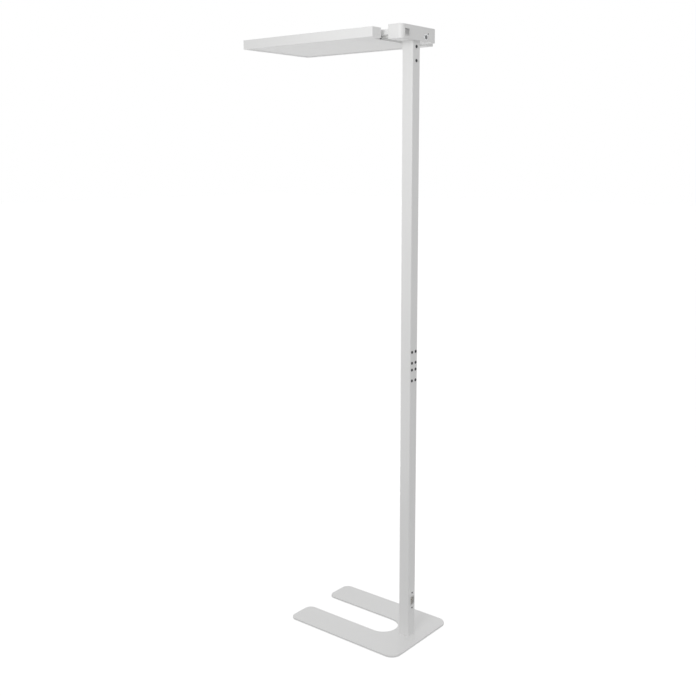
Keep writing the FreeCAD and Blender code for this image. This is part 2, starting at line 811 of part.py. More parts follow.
def neck_rear_screws():
    return [button_screw(m5_radius, m5_head_radius, m5_head_height, m5_socket, neck_rear_screw_length,
                         V(x, upstand_rear, neck_middle), V(0, -1, 0)) for x in neck_screw_x()]


def neck_front_screws():
    return [button_screw(m5_radius, m5_head_radius, m5_head_height, m5_socket, neck_front_screw_length,
                         V(x, panel_inside_notch, neck_middle), V(0, 1, 0)) for x in neck_front_screw_x()]


# ---------------------------------------------------------------- lead from housing to panel
def grommet(wall_y0, wall_y1):
    centre = V(head_lead_x, wall_y0, lead_z)

    def at(y):
        return V(centre.x, y, centre.z)
    body = rod(grommet_body_radius, at(wall_y0), at(wall_y1))
    body = body.fuse(rod(grommet_flange_radius, at(wall_y0 - grommet_flange), at(wall_y0)))
    body = body.fuse(rod(grommet_flange_radius, at(wall_y1), at(wall_y1 + grommet_flange)))
    bore = rod(head_lead_radius + thread_gap, at(wall_y0 - grommet_flange), at(wall_y1 + grommet_flange))
    return body.removeSplitter().cut(bore)


def lead_grommets():
    return [grommet(housing_front, housing_inside_front), grommet(panel_inside_notch, notch_wall)]


def head_lead():
    points = [V(terminal_x1, head_lead_turn_y, lead_z), V(head_lead_x, head_lead_turn_y, lead_z),
              V(head_lead_x, panel_turn_y, lead_z), V(terminal_x1, panel_turn_y, lead_z)]
    return lead("head_lead", points, head_lead_radius, head_lead_bend)


def terminals(y0, y1, z0, z1):
    """A block of terminals with a row of screw wells over each side's entries."""
    solid = block(terminal_x0, terminal_x1, y0, y1, z0, z1)
    step = (y1 - y0) / terminal_poles
    for x in (terminal_x0 + terminal_width / 4, terminal_x1 - terminal_width / 4):
        for number in range(terminal_poles):
            y = y0 + step * (number + 0.5)
            solid = solid.cut(rod(terminal_well_radius, V(x, y, z1 - terminal_well_depth), V(x, y, z1)))
    return solid


def terminal_block():
    return terminals(terminal_y0, terminal_y0 + terminal_depth, bracket_top, bracket_top + terminal_height)


def panel_terminal():
    top = panel_inside_floor + panel_terminal_height
    return terminals(panel_terminal_y0, panel_terminal_y1, panel_inside_floor, top)


# ---------------------------------------------------------------- rocker switch
def rocker_tab_x():
    return [rocker_x + side * rocker_tab_columns / 2 for side in (-1, 1)]


def rocker_tab_z():
    return [rocker_z + side * rocker_tab_rows / 2 for side in (-1, 1)]


def rocker_tab(x, z, gap):
    half_x = rocker_tab_width / 2 + gap
    half_z = rocker_tab_thickness / 2 + gap
    return block(x - half_x, x + half_x, rocker_back - rocker_tab_length, rocker_back + rocker_tab_seat + gap,
                 z - half_z, z + half_z)


def rocker_block(width, height, y0, y1):
    half_x = width / 2
    half_z = height / 2
    return block(rocker_x - half_x, rocker_x + half_x, y0, y1, rocker_z - half_z, rocker_z + half_z)


def rocker_rod(radius, half_length):
    """Rod on the rocker's pivot axis."""
    return rod(radius, V(rocker_x - half_length, rocker_pivot_y, rocker_z),
               V(rocker_x + half_length, rocker_pivot_y, rocker_z))


def rocker_housing():
    face = housing_rear + rocker_bezel_thickness
    body = rocker_block(rocker_body_width, rocker_body_height, rocker_back, housing_rear)
    bezel = rocker_block(rocker_bezel_width, rocker_bezel_height, housing_rear, face)
    body = body.fuse(bezel).removeSplitter()
    body = body.cut(rocker_block(rocker_cavity_width, rocker_cavity_height, rocker_back + rocker_floor, face))
    body = body.cut(rocker_rod(rocker_pin_radius + pivot_gap, rocker_body_width / 2 + cut_past))
    for x in rocker_tab_x():
        for z in rocker_tab_z():
            body = body.cut(rocker_tab(x, z, thread_gap))
    return body


def rocker_tabs():
    return [rocker_tab(x, z, 0) for x in rocker_tab_x() for z in rocker_tab_z()]


def rocker():
    """The paddle, turned so that its lower half is pressed in."""
    half_z = rocker_height / 2
    crest = housing_rear + rocker_crest
    waist = housing_rear - rocker_waist_depth
    waist_z = half_z - rocker_waist_inset
    outline = [(crest, -half_z), (crest - rocker_dip, 0), (crest, half_z),
               (waist, waist_z), (waist, -waist_z)]
    x0 = rocker_x - rocker_width / 2
    points = [V(x0, y, rocker_z + z) for y, z in outline]
    paddle = Part.Face(Part.makePolygon(points + points[:1])).extrude(V(rocker_width, 0, 0))
    hub = rocker_rod(rocker_hub_radius, rocker_width / 2)
    pin = rocker_rod(rocker_pin_radius, rocker_cavity_width / 2 + rocker_pin_reach)
    whole = paddle.fuse(hub).fuse(pin).removeSplitter()
    whole.rotate(V(rocker_x, rocker_pivot_y, rocker_z), V(1, 0, 0), -rocker_tilt)
    return whole


# ---------------------------------------------------------------- push button and its board
def at_button(y):
    return V(button_x, y, button_z)


def button_bezel():
    sleeve_inner = button_radius + button_side_gap
    sleeve_outer = sleeve_inner + button_sleeve_wall
    face = housing_rear + button_bezel_thickness
    rim = ring(button_bezel_radius, sleeve_inner, at_button(housing_rear), at_button(face))
    sleeve = ring(sleeve_outer, sleeve_inner, at_button(sleeve_end), at_button(housing_rear))
    return rim.fuse(sleeve).removeSplitter()


def push_button():
    collar_y1 = sleeve_end - seat_gap
    collar_y0 = collar_y1 - button_collar_thickness
    tip = housing_rear + button_proud
    cap = rod(button_radius, at_button(collar_y0), at_button(tip))
    rim = [e for e in cap.Edges if abs(e.BoundBox.YMin - tip) < 1e-6]
    cap = cap.makeFillet(button_round, rim)
    collar = rod(button_collar_radius, at_button(collar_y0), at_button(collar_y1))
    stem_end = board_rear + button_travel + seat_gap
    stem = rod(button_stem_radius, at_button(stem_end), at_button(collar_y0))
    return cap.fuse(collar).fuse(stem).removeSplitter()


def button_spring():
    """Compression spring between the switch and the button's collar."""
    low = switch_top + spring_wire_radius
    high = sleeve_end - seat_gap - button_collar_thickness - spring_wire_radius
    helix = Part.makeHelix((high - low) / spring_turns, high - low, spring_mean_radius)
    profile = Part.Wire([Part.makeCircle(spring_wire_radius, V(spring_mean_radius, 0, 0), V(0, 1, 0))])
    coil = Part.Wire(helix.Edges).makePipeShell([profile], True, True)
    return turned(coil, at_button(low), V(0, 1, 0))


def tact_switch():
    half = switch_side / 2
    body = block(button_x - half, button_x + half, board_rear, switch_top, button_z - half, button_z + half)
    well = rod(button_stem_radius + pivot_gap, at_button(board_rear + seat_gap), at_button(switch_top))
    return body.cut(well)


def control_board():
    board = block(board_x0, board_x1, board_front, board_rear, board_z0, board_z1)
    for x, z in board_post_places():
        board = board.cut(rod(m3_radius + screw_hole_gap, V(x, board_front, z), V(x, board_rear, z)))
    half = indicator_led_side / 2
    chip = block(indicator_x - half, indicator_x + half, board_rear, board_rear + indicator_led_height,
                 indicator_z - half, indicator_z + half)
    return board.fuse(chip).removeSplitter()


def board_screws():
    return [button_screw(m3_radius, m3_head_radius, m3_head_height, m3_socket, board_screw_length,
                         V(x, board_front, z), V(0, 1, 0)) for x, z in board_post_places()]


def indicator_lens():
    low = board_rear + indicator_led_height + seat_gap
    tip = housing_rear + indicator_proud
    pipe = rod(indicator_radius, V(indicator_x, low, indicator_z), V(indicator_x, tip, indicator_z))
    rim = [e for e in pipe.Edges if abs(e.BoundBox.YMin - tip) < 1e-6]
    return pipe.makeFillet(indicator_round, rim)


def switch_leads():
    """One conductor to each tab: to the near column's sides and along the far column's ends."""
    near_x, far_x = rocker_tab_x()
    near_y = rocker_back - rocker_tab_length / 2
    far_y = rocker_back - rocker_tab_length - wire_radius
    near_end = near_x - rocker_tab_width / 2
    far_end = far_x + rocker_tab_width / 2
    ends = [(near_y, near_end, z) for z in rocker_tab_z()] + [(far_y, far_end, z) for z in rocker_tab_z()]
    return [rod(wire_radius, V(terminal_x1, y, z), V(end, y, z)) for y, end, z in ends]


def board_leads():
    y = (board_front + board_rear) / 2
    return [rod(board_thickness / 2, V(board_x1, y, board_z1 - drop), V(terminal_x0, y, board_z1 - drop))
            for drop in board_lead_drops]


# ---------------------------------------------------------------- light panel
def panel_polygon(inset):
    side = panel_side - inset
    notch = notch_side + inset
    front = panel_front + inset
    rear = panel_rear - inset
    wall = notch_wall - inset
    return [(-side, front), (side, front), (side, rear), (notch, rear), (notch, wall),
            (-notch, wall), (-notch, rear), (-side, rear)]


def tray_boss_places():
    return [(x, window_front + y) for x in mirrored([panel_boss_x]) for y in tray_boss_y]


def cover_boss_places():
    return [(x, panel_inside_front + y) for x in mirrored([panel_boss_x]) for y in cover_boss_y]


def panel_frame():
    frame = prism(panel_polygon(0), panel_bottom, panel_top)
    frame = round_uprights(frame, panel_corner, lambda p: abs(p.x) > notch_side + panel_corner)
    frame = frame.cut(prism(panel_polygon(panel_wall), panel_inside_floor, panel_top))
    frame = frame.cut(block(-window_side, window_side, window_front, window_rear,
                            panel_bottom, panel_inside_floor))
    in_floor = (panel_bottom + panel_inside_floor) / 2
    for places, top, depth in ((tray_boss_places(), reflector_top, tray_screw_length),
                               (cover_boss_places(), cover_bottom, cover_screw_length)):
        for x, y in places:
            in_wall = math.copysign(panel_inside_side + panel_wall / 2, x)
            low_x, high_x = sorted((x, in_wall))
            half_web = panel_web_thickness / 2
            web = block(low_x, high_x, y - half_web, y + half_web, in_floor, top)
            boss = rod(panel_boss_radius, V(x, y, in_floor), V(x, y, top)).fuse(web)
            frame = frame.fuse(boss)
            frame = frame.cut(rod(m3_radius + thread_gap, V(x, y, top - depth), V(x, y, top)))
    for x in neck_front_screw_x():
        frame = frame.cut(rod(m5_radius + screw_hole_gap, V(x, panel_inside_notch, neck_middle),
                              V(x, notch_wall, neck_middle)))
    frame = frame.cut(rod(grommet_body_radius + grommet_hole_gap, V(head_lead_x, panel_inside_notch, lead_z),
                          V(head_lead_x, notch_wall, lead_z)))
    return frame.removeSplitter()


def diffuser():
    return block(-diffuser_side, diffuser_side, diffuser_front, diffuser_rear,
                 panel_inside_floor, diffuser_top)


def light_guide():
    return block(-guide_side, guide_side, diffuser_front, diffuser_rear, diffuser_top, guide_top)


def reflector_sheet():
    return block(-guide_side, guide_side, diffuser_front, diffuser_rear, guide_top, reflector_top)


def led_strips():
    """One board along each long side, with its chips facing the light guide's edge."""
    strips = []
    bottom = diffuser_top + press_gap
    top = reflector_top - press_gap
    step = (diffuser_rear - diffuser_front) / led_chip_count
    for side in (-1, 1):
        outer, inner = side * led_board_outer, side * led_board_inner
        strip = block(min(outer, inner), max(outer, inner), diffuser_front, diffuser_rear, bottom, top)
        tip = side * (led_board_inner - led_chip_height)
        for number in range(led_chip_count):
            y = diffuser_front + step * (number + 0.5) - led_chip_length / 2
            strip = strip.fuse(block(min(inner, tip), max(inner, tip), y, y + led_chip_length,
                                     bottom + press_gap, top - press_gap))
        strips.append(strip.removeSplitter())
    return strips


def back_tray():
    """Sheet that presses the stack down and carries the light strips on its turned-down sides."""
    tray = block(-tray_side, tray_side, diffuser_front, diffuser_rear, reflector_top, tray_top)
    for side in (-1, 1):
        low, high = sorted((side * led_board_outer, side * tray_side))
        tray = tray.fuse(block(low, high, diffuser_front, diffuser_rear, diffuser_top, reflector_top))
    half = tray_tab_width / 2
    for x, y in tray_boss_places():
        end = math.copysign(panel_inside_side - seat_gap, x)
        low, high = sorted((math.copysign(tray_side, x), end))
        tray = tray.fuse(block(low, high, y - half, y + half, reflector_top, tray_top))
        tray = tray.cut(rod(m3_radius + screw_hole_gap, V(x, y, reflector_top), V(x, y, tray_top)))
    for x, y in driver_screw_places():
        tray = tray.cut(rod(m3_radius + thread_gap, V(x, y, reflector_top), V(x, y, tray_top)))
    return tray.removeSplitter()


def tray_screws():
    return [button_screw(m3_radius, m3_head_radius, m3_head_height, m3_socket, tray_screw_length,
                         V(x, y, tray_top), V(0, 0, -1)) for x, y in tray_boss_places()]


def driver_ends():
    rear = diffuser_rear - driver_set_back
    return rear - driver_length, rear


def driver_screw_places():
    front, rear = driver_ends()
    inset = driver_foot_length / 2
    return [(0, front + inset), (0, rear - inset)]


def led_driver():
    front, rear = driver_ends()
    half = driver_width / 2
    foot = driver_foot_length
    box = block(-half, half, front + foot, rear - foot, tray_top, tray_top + driver_height)
    plate = block(-half, half, front, rear, tray_top, tray_top + driver_foot_thickness)
    solid = box.fuse(plate).removeSplitter()
    for x, y in driver_screw_places():
        solid = solid.cut(rod(m3_radius + screw_hole_gap, V(x, y, tray_top),
                              V(x, y, tray_top + driver_foot_thickness)))
    return solid


def driver_screws():
    z = tray_top + driver_foot_thickness
    length = driver_screw_length - thread_gap
    return [button_screw(m3_radius, m3_head_radius, m3_head_height, m3_socket, length,
                         V(x, y, z), V(0, 0, -1)) for x, y in driver_screw_places()]


def driver_leads():
    """Two straight conductors from the panel's terminals to the driver."""
    end = driver_ends()[1] - driver_foot_length
    z = tray_top + driver_height / 2
    first = terminal_x0 + driver_lead_inset
    return [rod(wire_radius, V(x, panel_terminal_y0, z), V(x, end, z))
            for x in (first, first + driver_lead_pitch)]


def led_leads():
    """One pair sheath on each side, from the driver's rear to the end of a light strip."""
    wires = []
    driver_rear = driver_ends()[1] - driver_foot_length
    strip_z = (diffuser_top + reflector_top) / 2
    driver_z = tray_top + driver_height - led_lead_drop
    turn_y = diffuser_rear + led_wire_bend + led_lead_run
    strip_x = led_board_outer - led_board_thickness / 2
    start_x = driver_width / 2 - led_lead_inset
    for side in (-1, 1):
        points = [V(side * start_x, driver_rear, driver_z), V(side * start_x, turn_y, driver_z),
                  V(side * strip_x, turn_y, strip_z), V(side * strip_x, diffuser_rear, strip_z)]
        wires.append(lead("led_lead", points, led_wire_radius, led_wire_bend))
    return wires


def head_cover():
    cover = prism(panel_polygon(panel_wall + seat_gap), cover_bottom, panel_top)
    for x, y in cover_boss_places():
        cover = cover.cut(flat_screw_hole(m3_radius, m3_head_radius, cover_thickness, cover_thickness,
                                          V(x, y, panel_top), V(0, 0, -1), thread_gap))
    return cover


def cover_screws():
    return [flat_screw(m3_radius, m3_head_radius, cover_thickness, m3_socket, cover_screw_length,
                       V(x, y, panel_top), V(0, 0, -1)) for x, y in cover_boss_places()]


# ---------------------------------------------------------------- the files
save("base_plate", base_plate())
save("base_pads", *base_pads())
save("foot_block", foot_block())
save("foot_screws", *foot_screws())
save("lower_pole", lower_pole())
save("joint_sleeve", joint_sleeve())
save("upper_pole", upper_pole())
save("joint_screws", *pole_screws(joint_places()))
save("inlet_plate", inlet_plate())
save("inlet_screws", *inlet_screws())
save("inlet_body", inlet_body())
save("inlet_pins", *inlet_pins())
save("inlet_boot", inlet_boot())
save("mains_lead", mains_lead())
save("head_bracket", head_bracket())
save("spigot_screws", *pole_screws(spigot_places()))
save("bracket_screws", *bracket_screws())
save("housing_shell", housing_shell())
save("housing_lid", housing_lid())
save("lid_screws", *lid_screws())
save("neck_bar", neck_bar())
save("neck_rear_screws", *neck_rear_screws())
save("neck_front_screws", *neck_front_screws())
save("lead_grommets", *lead_grommets())
save("head_lead", head_lead())
save("terminal_block", terminal_block())
save("panel_terminal", panel_terminal())
save("rocker_housing", rocker_housing())
save("rocker_tabs", *rocker_tabs())
save("rocker", rocker())
save("button_bezel", button_bezel())
save("push_button", push_button())
save("button_spring", button_spring())
save("tact_switch", tact_switch())
save("control_board", control_board())
save("board_screws", *board_screws())
save("indicator_lens", indicator_lens())
save("switch_leads", *switch_leads())
save("board_leads", *board_leads())
save("panel_frame", panel_frame())
save("diffuser", diffuser())
save("light_guide", light_guide())
save("reflector_sheet", reflector_sheet())
save("led_strips", *led_strips())
save("back_tray", back_tray())
save("tray_screws", *tray_screws())
save("led_driver", led_driver())
save("driver_screws", *driver_screws())
save("driver_leads", *driver_leads())
save("led_leads", *led_leads())
save("head_cover", head_cover())
save("cover_screws", *cover_screws())
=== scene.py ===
"""Office floor lamp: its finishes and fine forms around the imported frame, on a plain pale stage.

Metres, in the frame's own axes: +Z up, the origin on the pole's axis on the floor, the legs and the
light head towards -Y, the mains inlet and the controls on the rear, towards +Y.
"""

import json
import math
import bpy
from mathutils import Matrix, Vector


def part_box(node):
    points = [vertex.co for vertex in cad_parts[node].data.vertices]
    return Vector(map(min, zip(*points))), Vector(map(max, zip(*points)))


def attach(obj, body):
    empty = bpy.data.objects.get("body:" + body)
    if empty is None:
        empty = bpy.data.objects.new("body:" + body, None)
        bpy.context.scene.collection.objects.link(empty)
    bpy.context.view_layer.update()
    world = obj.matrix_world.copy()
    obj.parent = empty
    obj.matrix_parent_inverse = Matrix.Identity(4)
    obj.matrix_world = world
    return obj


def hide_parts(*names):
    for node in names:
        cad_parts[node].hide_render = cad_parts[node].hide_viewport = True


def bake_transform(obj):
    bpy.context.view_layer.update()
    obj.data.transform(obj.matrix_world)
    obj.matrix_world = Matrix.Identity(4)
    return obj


bl_info = {
    "name": "Office Floor Lamp",
    "version": (1, 0, 0),
    "blender": (4, 5, 0),
    "location": "View3D > Sidebar > Floor Lamp",
    "description": "Dresses the frame of an office floor lamp with its finishes and fine forms",
    "category": "Add Mesh",
}

import bmesh
import bpy
from mathutils import Vector

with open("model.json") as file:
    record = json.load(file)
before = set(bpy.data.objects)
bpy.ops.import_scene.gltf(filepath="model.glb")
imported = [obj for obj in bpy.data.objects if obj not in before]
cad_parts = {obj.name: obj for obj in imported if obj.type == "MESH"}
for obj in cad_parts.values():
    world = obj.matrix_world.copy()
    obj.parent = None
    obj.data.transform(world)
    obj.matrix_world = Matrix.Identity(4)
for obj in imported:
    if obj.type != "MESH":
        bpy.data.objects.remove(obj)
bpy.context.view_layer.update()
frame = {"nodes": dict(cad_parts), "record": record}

SLOT_OF = {part["node"]: part["material_slot"] for part in frame["record"]["subparts"]}

SAME_PLACE = 0.00002               # two places nearer than this count as one
WELD_GAP = 0.000002                # corners nearer than this are welded
FLAT_TURN = math.radians(0.3)      # faces that turn less than this become one flat face
CORNER_TURN = math.radians(30)     # an edge that turns more than this is a real corner
SMOOTH_TURN = math.radians(35)     # an edge that turns less than this is shaded smooth
FACING = 0.9                       # least share of a face's normal along the axis that it faces
FACING_SQUARELY = 0.99             # the same, where rounds beside the face have to be left out


# ---------------------------------------------------------------- what a user may change
def length(name, description, default):
    return bpy.props.FloatProperty(
        name=name, description=description, default=default, min=0.0,
        unit="LENGTH", subtype="DISTANCE")


def colour(name, description, default):
    return bpy.props.FloatVectorProperty(
        name=name, description=description, default=default, min=0.0, max=1.0, size=3,
        subtype="COLOR")


def power(name, description, default):
    return bpy.props.FloatProperty(
        name=name, description=description, default=default, min=0.0, unit="POWER")


def strength(name, description, default):
    return bpy.props.FloatProperty(
        name=name, description=description, default=default, min=0.0, soft_max=2.0,
        subtype="FACTOR")


class LampSizes(bpy.types.PropertyGroup):
    sheet_round: length("Sheet edge round", "Round on the edges of the light head's frame", 0.0006)
    seam_round: length("Seam round", "Round on both sides of a seam of coated parts", 0.0004)
    plate_round: length("Plate round", "Round on the thin inlet plate and the head's cover", 0.0004)
    inlet_round: length("Inlet round", "Round on the moulded edges of the mains inlet", 0.0006)
    bezel_round: length("Rocker bezel round", "Round on the rocker bezel's outer edges", 0.0009)
    paddle_round: length("Paddle round", "Round on the rocker paddle's edges", 0.0006)
    button_dish: length("Button dish", "How far the button's middle lies below its rim", 0.0006)
    pad_round: length("Pad round", "Round on the lower edge of the foot's pads", 0.0004)
    coat_grain: length("Coat grain", "Height of the powder coat's fine grain", 0.00004)
    coat_ripple: length("Coat ripple", "Height of the powder coat's slow ripple", 0.00006)
    prism_pitch: length("Prism pitch", "Pitch of the small prisms in the light window", 0.0018)
    prism_height: length("Prism height", "Height of those prisms", 0.00002)


class LampColours(bpy.types.PropertyGroup):
    powder_white: colour(
        "Powder white", "Coat of the foot, pole, housing and head", (0.87, 0.87, 0.866))
    opal_white: colour("Opal white", "Light window", (0.87, 0.87, 0.865))
    screw_black: colour("Screw black", "Blackened screw heads", (0.055, 0.055, 0.06))
    moulded_black: colour("Moulded black", "Boot behind the mains inlet", (0.022, 0.022, 0.024))
    moulded_white: colour("Moulded white", "Mains inlet and rocker bezel", (0.70, 0.70, 0.69))
    paddle_grey: colour("Paddle grey", "Rocker paddle", (0.48, 0.48, 0.48))
    button_grey: colour("Button grey", "Push button's cap", (0.22, 0.22, 0.23))
    ring_metal: colour("Ring metal", "Ring round the push button", (0.70, 0.71, 0.72))
    rubber_black: colour("Rubber black", "Grommets", (0.03, 0.03, 0.03))


class LampStudio(bpy.types.PropertyGroup):
    sky_light: strength("Sky light", "Strength of the even light from all round", 0.63)
    key_power: power("Key power", "Power of the soft lamp beside the head", 8.5)
    fill_power: power("Fill power", "Power of the soft lamp under the head", 3.9)
    floor_glow: strength("Floor glow", "What the floor adds where it is seen, to look white", 0.62)
    floor_colour: colour("Floor colour", "Colour of the plain floor", (0.62, 0.62, 0.62))


def sizes():
    return bpy.context.scene.lamp_sizes


def colours():
    return bpy.context.scene.lamp_colours


# ---------------------------------------------------------------- finishes
PATTERN_LOW, PATTERN_HIGH = 0.3, 0.7    # nearly all values of a noise pattern lie between these
WAVE_PERIOD = math.pi / 10              # metres from band to band of a wave pattern at a scale of 1


class Finish:
    """A material under construction: its shader and the patterns that feed it."""

    def __init__(self, name):
        self.material = bpy.data.materials.new(name)
        self.material.use_nodes = True
        self.tree = self.material.node_tree
        self.shader = self.tree.nodes["Principled BSDF"]
        self.place = self.add("ShaderNodeTexCoord").outputs["Object"]
        self.normal = None

    def add(self, kind, **settings):
        """Add a shader node with its settings."""
        made = self.tree.nodes.new(kind)
        for key, value in settings.items():
            setattr(made, key, value)
        return made

    def link(self, output, socket):
        self.tree.links.new(output, socket)

    def stretched(self, scale):
        """The place on the surface, scaled apart along the three axes."""
        mapping = self.add("ShaderNodeMapping")
        mapping.inputs["Scale"].default_value = scale
        self.link(self.place, mapping.inputs["Vector"])
        return mapping.outputs["Vector"]

    def noise(self, scale, detail=2.0, stretch=None):
        """An uneven pattern with about as many spots to the metre as its scale."""
        made = self.add("ShaderNodeTexNoise")
        made.inputs["Scale"].default_value = scale
        made.inputs["Detail"].default_value = detail
        self.link(self.stretched(stretch) if stretch else self.place, made.inputs["Vector"])
        return made.outputs["Fac"]

    def ridges(self, pitch, axis):
        """Even ridges at a real pitch across the X, Y or Z axis."""
        made = self.add(
            "ShaderNodeTexWave", wave_type="BANDS", bands_direction=axis, wave_profile="TRI")
        made.inputs["Scale"].default_value = WAVE_PERIOD / pitch
        self.link(self.place, made.inputs["Vector"])
        return made.outputs["Fac"]

    def sum_of(self, first, second):
        """Two patterns laid over each other."""
        made = self.add("ShaderNodeMath", operation="ADD")
        self.link(first, made.inputs[0])
        self.link(second, made.inputs[1])
        return made.outputs["Value"]

    def between(self, value, low, high):
        """Spread a pattern over a range of plain numbers."""
        made = self.add("ShaderNodeMapRange")
        made.inputs["From Min"].default_value = PATTERN_LOW
        made.inputs["From Max"].default_value = PATTERN_HIGH
        made.inputs["To Min"].default_value = low
        made.inputs["To Max"].default_value = high
        self.link(value, made.inputs["Value"])
        return made.outputs["Result"]

    def tint(self, value, one, other):
        """Base colour that runs from one colour to another with a pattern."""
        made = self.add("ShaderNodeMixRGB")
        made.inputs["Color1"].default_value = (*one, 1.0)
        made.inputs["Color2"].default_value = (*other, 1.0)
        self.link(self.between(value, 0.0, 1.0), made.inputs["Fac"])
        self.link(made.outputs["Color"], self.shader.inputs["Base Color"])

    def drift(self, base, share, scale, stretch=None):
        """Base colour that drifts by a small share over the surface."""
        value = self.noise(scale, detail=3.0, stretch=stretch)
        darker = tuple(part * (1 - share) for part in base)
        lighter = tuple(min(part * (1 + share), 1.0) for part in base)
        self.tint(value, darker, lighter)

    def rough(self, value, low, high):
        """Roughness that wanders between two values with a pattern."""
        self.link(self.between(value, low, high), self.shader.inputs["Roughness"])

    def relief(self, value, height):
        """Raise the surface by a pattern, over any relief that it already has."""
        made = self.add("ShaderNodeBump")
        made.inputs["Strength"].default_value = 1.0
        made.inputs["Distance"].default_value = height
        self.link(value, made.inputs["Height"])
        if self.normal:
            self.link(self.normal, made.inputs["Normal"])
        self.normal = made.outputs["Normal"]
        self.link(self.normal, self.shader.inputs["Normal"])

    def set(self, **values):
        """Set the shader's own sockets, and give the finished material back."""
        for key, value in values.items():
            self.shader.inputs[key.replace("_", " ")].default_value = value
        return self.material


def powder_coat(name, base):
    """Satin powder coat: a fine grain over a slow orange-peel ripple."""
    made = Finish(name)
    made.drift(base, share=0.012, scale=3.0)
    made.rough(made.noise(scale=40.0), low=0.40, high=0.50)
    made.relief(made.noise(scale=260.0, detail=1.0), sizes().coat_ripple)
    made.relief(made.noise(scale=1500.0), sizes().coat_grain)
    return made.set(IOR=1.5)


def sheet_metal(name, base, roughness, lines):
    """Mill-finish or plated metal with faint lines along its length."""
    made = Finish(name)
    made.drift(base, share=0.05, scale=30.0, stretch=lines)
    made.rough(made.noise(scale=300.0, detail=3.0, stretch=lines),
               low=roughness - 0.06, high=roughness + 0.08)
    made.relief(made.noise(scale=900.0, stretch=lines), height=0.00001)
    return made.set(Metallic=1.0)


def blackened(name, base):
    """Black oxide on a screw: near black, a little uneven, with a dull metal shine."""
    made = Finish(name)
    made.drift(base, share=0.35, scale=500.0)
    made.rough(made.noise(scale=900.0), low=0.34, high=0.52)
    made.relief(made.noise(scale=1800.0), height=0.000012)
    return made.set(Metallic=0.6)


def moulded(name, base, roughness, grain=0.00002):
    """Moulded plastic with a spark-eroded grain."""
    made = Finish(name)
    made.drift(base, share=0.08, scale=60.0)
    made.rough(made.noise(scale=700.0), low=roughness - 0.06, high=roughness + 0.06)
    made.relief(made.noise(scale=2400.0, detail=1.0), height=grain)
    return made.set(IOR=1.48)


def rubber(name, base):
    """Matt moulded rubber, a little blotchy."""
    made = Finish(name)
    made.drift(base, share=0.15, scale=80.0)
    made.rough(made.noise(scale=500.0), low=0.62, high=0.80)
    made.relief(made.noise(scale=1100.0, detail=3.0), height=0.00003)
    return made.set(IOR=1.45)


def prism_sheet(name, base):
    """Opal light window with small square prisms on its lower side."""
    made = Finish(name)
    made.drift(base, share=0.01, scale=2.0)
    made.rough(made.noise(scale=60.0), low=0.34, high=0.44)
    pitch = sizes().prism_pitch
    prisms = made.sum_of(made.ridges(pitch, "X"), made.ridges(pitch, "Y"))
    made.relief(prisms, sizes().prism_height)
    return made.set(IOR=1.49)


def clear_sheet(name, base):
    """Clear plate with a printed dot grid that brings the light out."""
    made = Finish(name)
    dots = made.add("ShaderNodeTexVoronoi", feature="F1")
    dots.inputs["Scale"].default_value = 300.0
    dots.inputs["Randomness"].default_value = 0.0
    made.link(made.place, dots.inputs["Vector"])
    made.tint(dots.outputs["Distance"], one=base, other=tuple(part * 0.9 for part in base))
    made.rough(dots.outputs["Distance"], low=0.35, high=0.08)
    return made.set(IOR=1.49, Transmission_Weight=0.6)


def circuit_board(name, base):
    """Solder resist with raised tracks under it."""
    made = Finish(name)
    tracks = made.add("ShaderNodeTexBrick", offset=0.37)
    tracks.inputs["Scale"].default_value = 120.0
    tracks.inputs["Mortar Size"].default_value = 0.06
    made.link(made.place, tracks.inputs["Vector"])
    made.tint(tracks.outputs["Fac"], one=tuple(part * 0.75 for part in base), other=base)
    made.rough(made.noise(scale=400.0), low=0.28, high=0.40)
    made.relief(tracks.outputs["Fac"], height=0.00003)
    return made.set(IOR=1.5)


def smoked_lens(name, base):
    """Dark glossy plastic of an unlit indicator."""
    made = Finish(name)
    made.drift(base, share=0.2, scale=400.0)
    made.rough(made.noise(scale=600.0), low=0.06, high=0.14)
    return made.set(IOR=1.49, Coat_Weight=0.4, Coat_Roughness=0.05)


LINES_ALONG = (1.0, 0.05, 1.0)     # a pattern drawn out into lines along Y
EVEN = (1.0, 1.0, 1.0)             # the same pattern every way

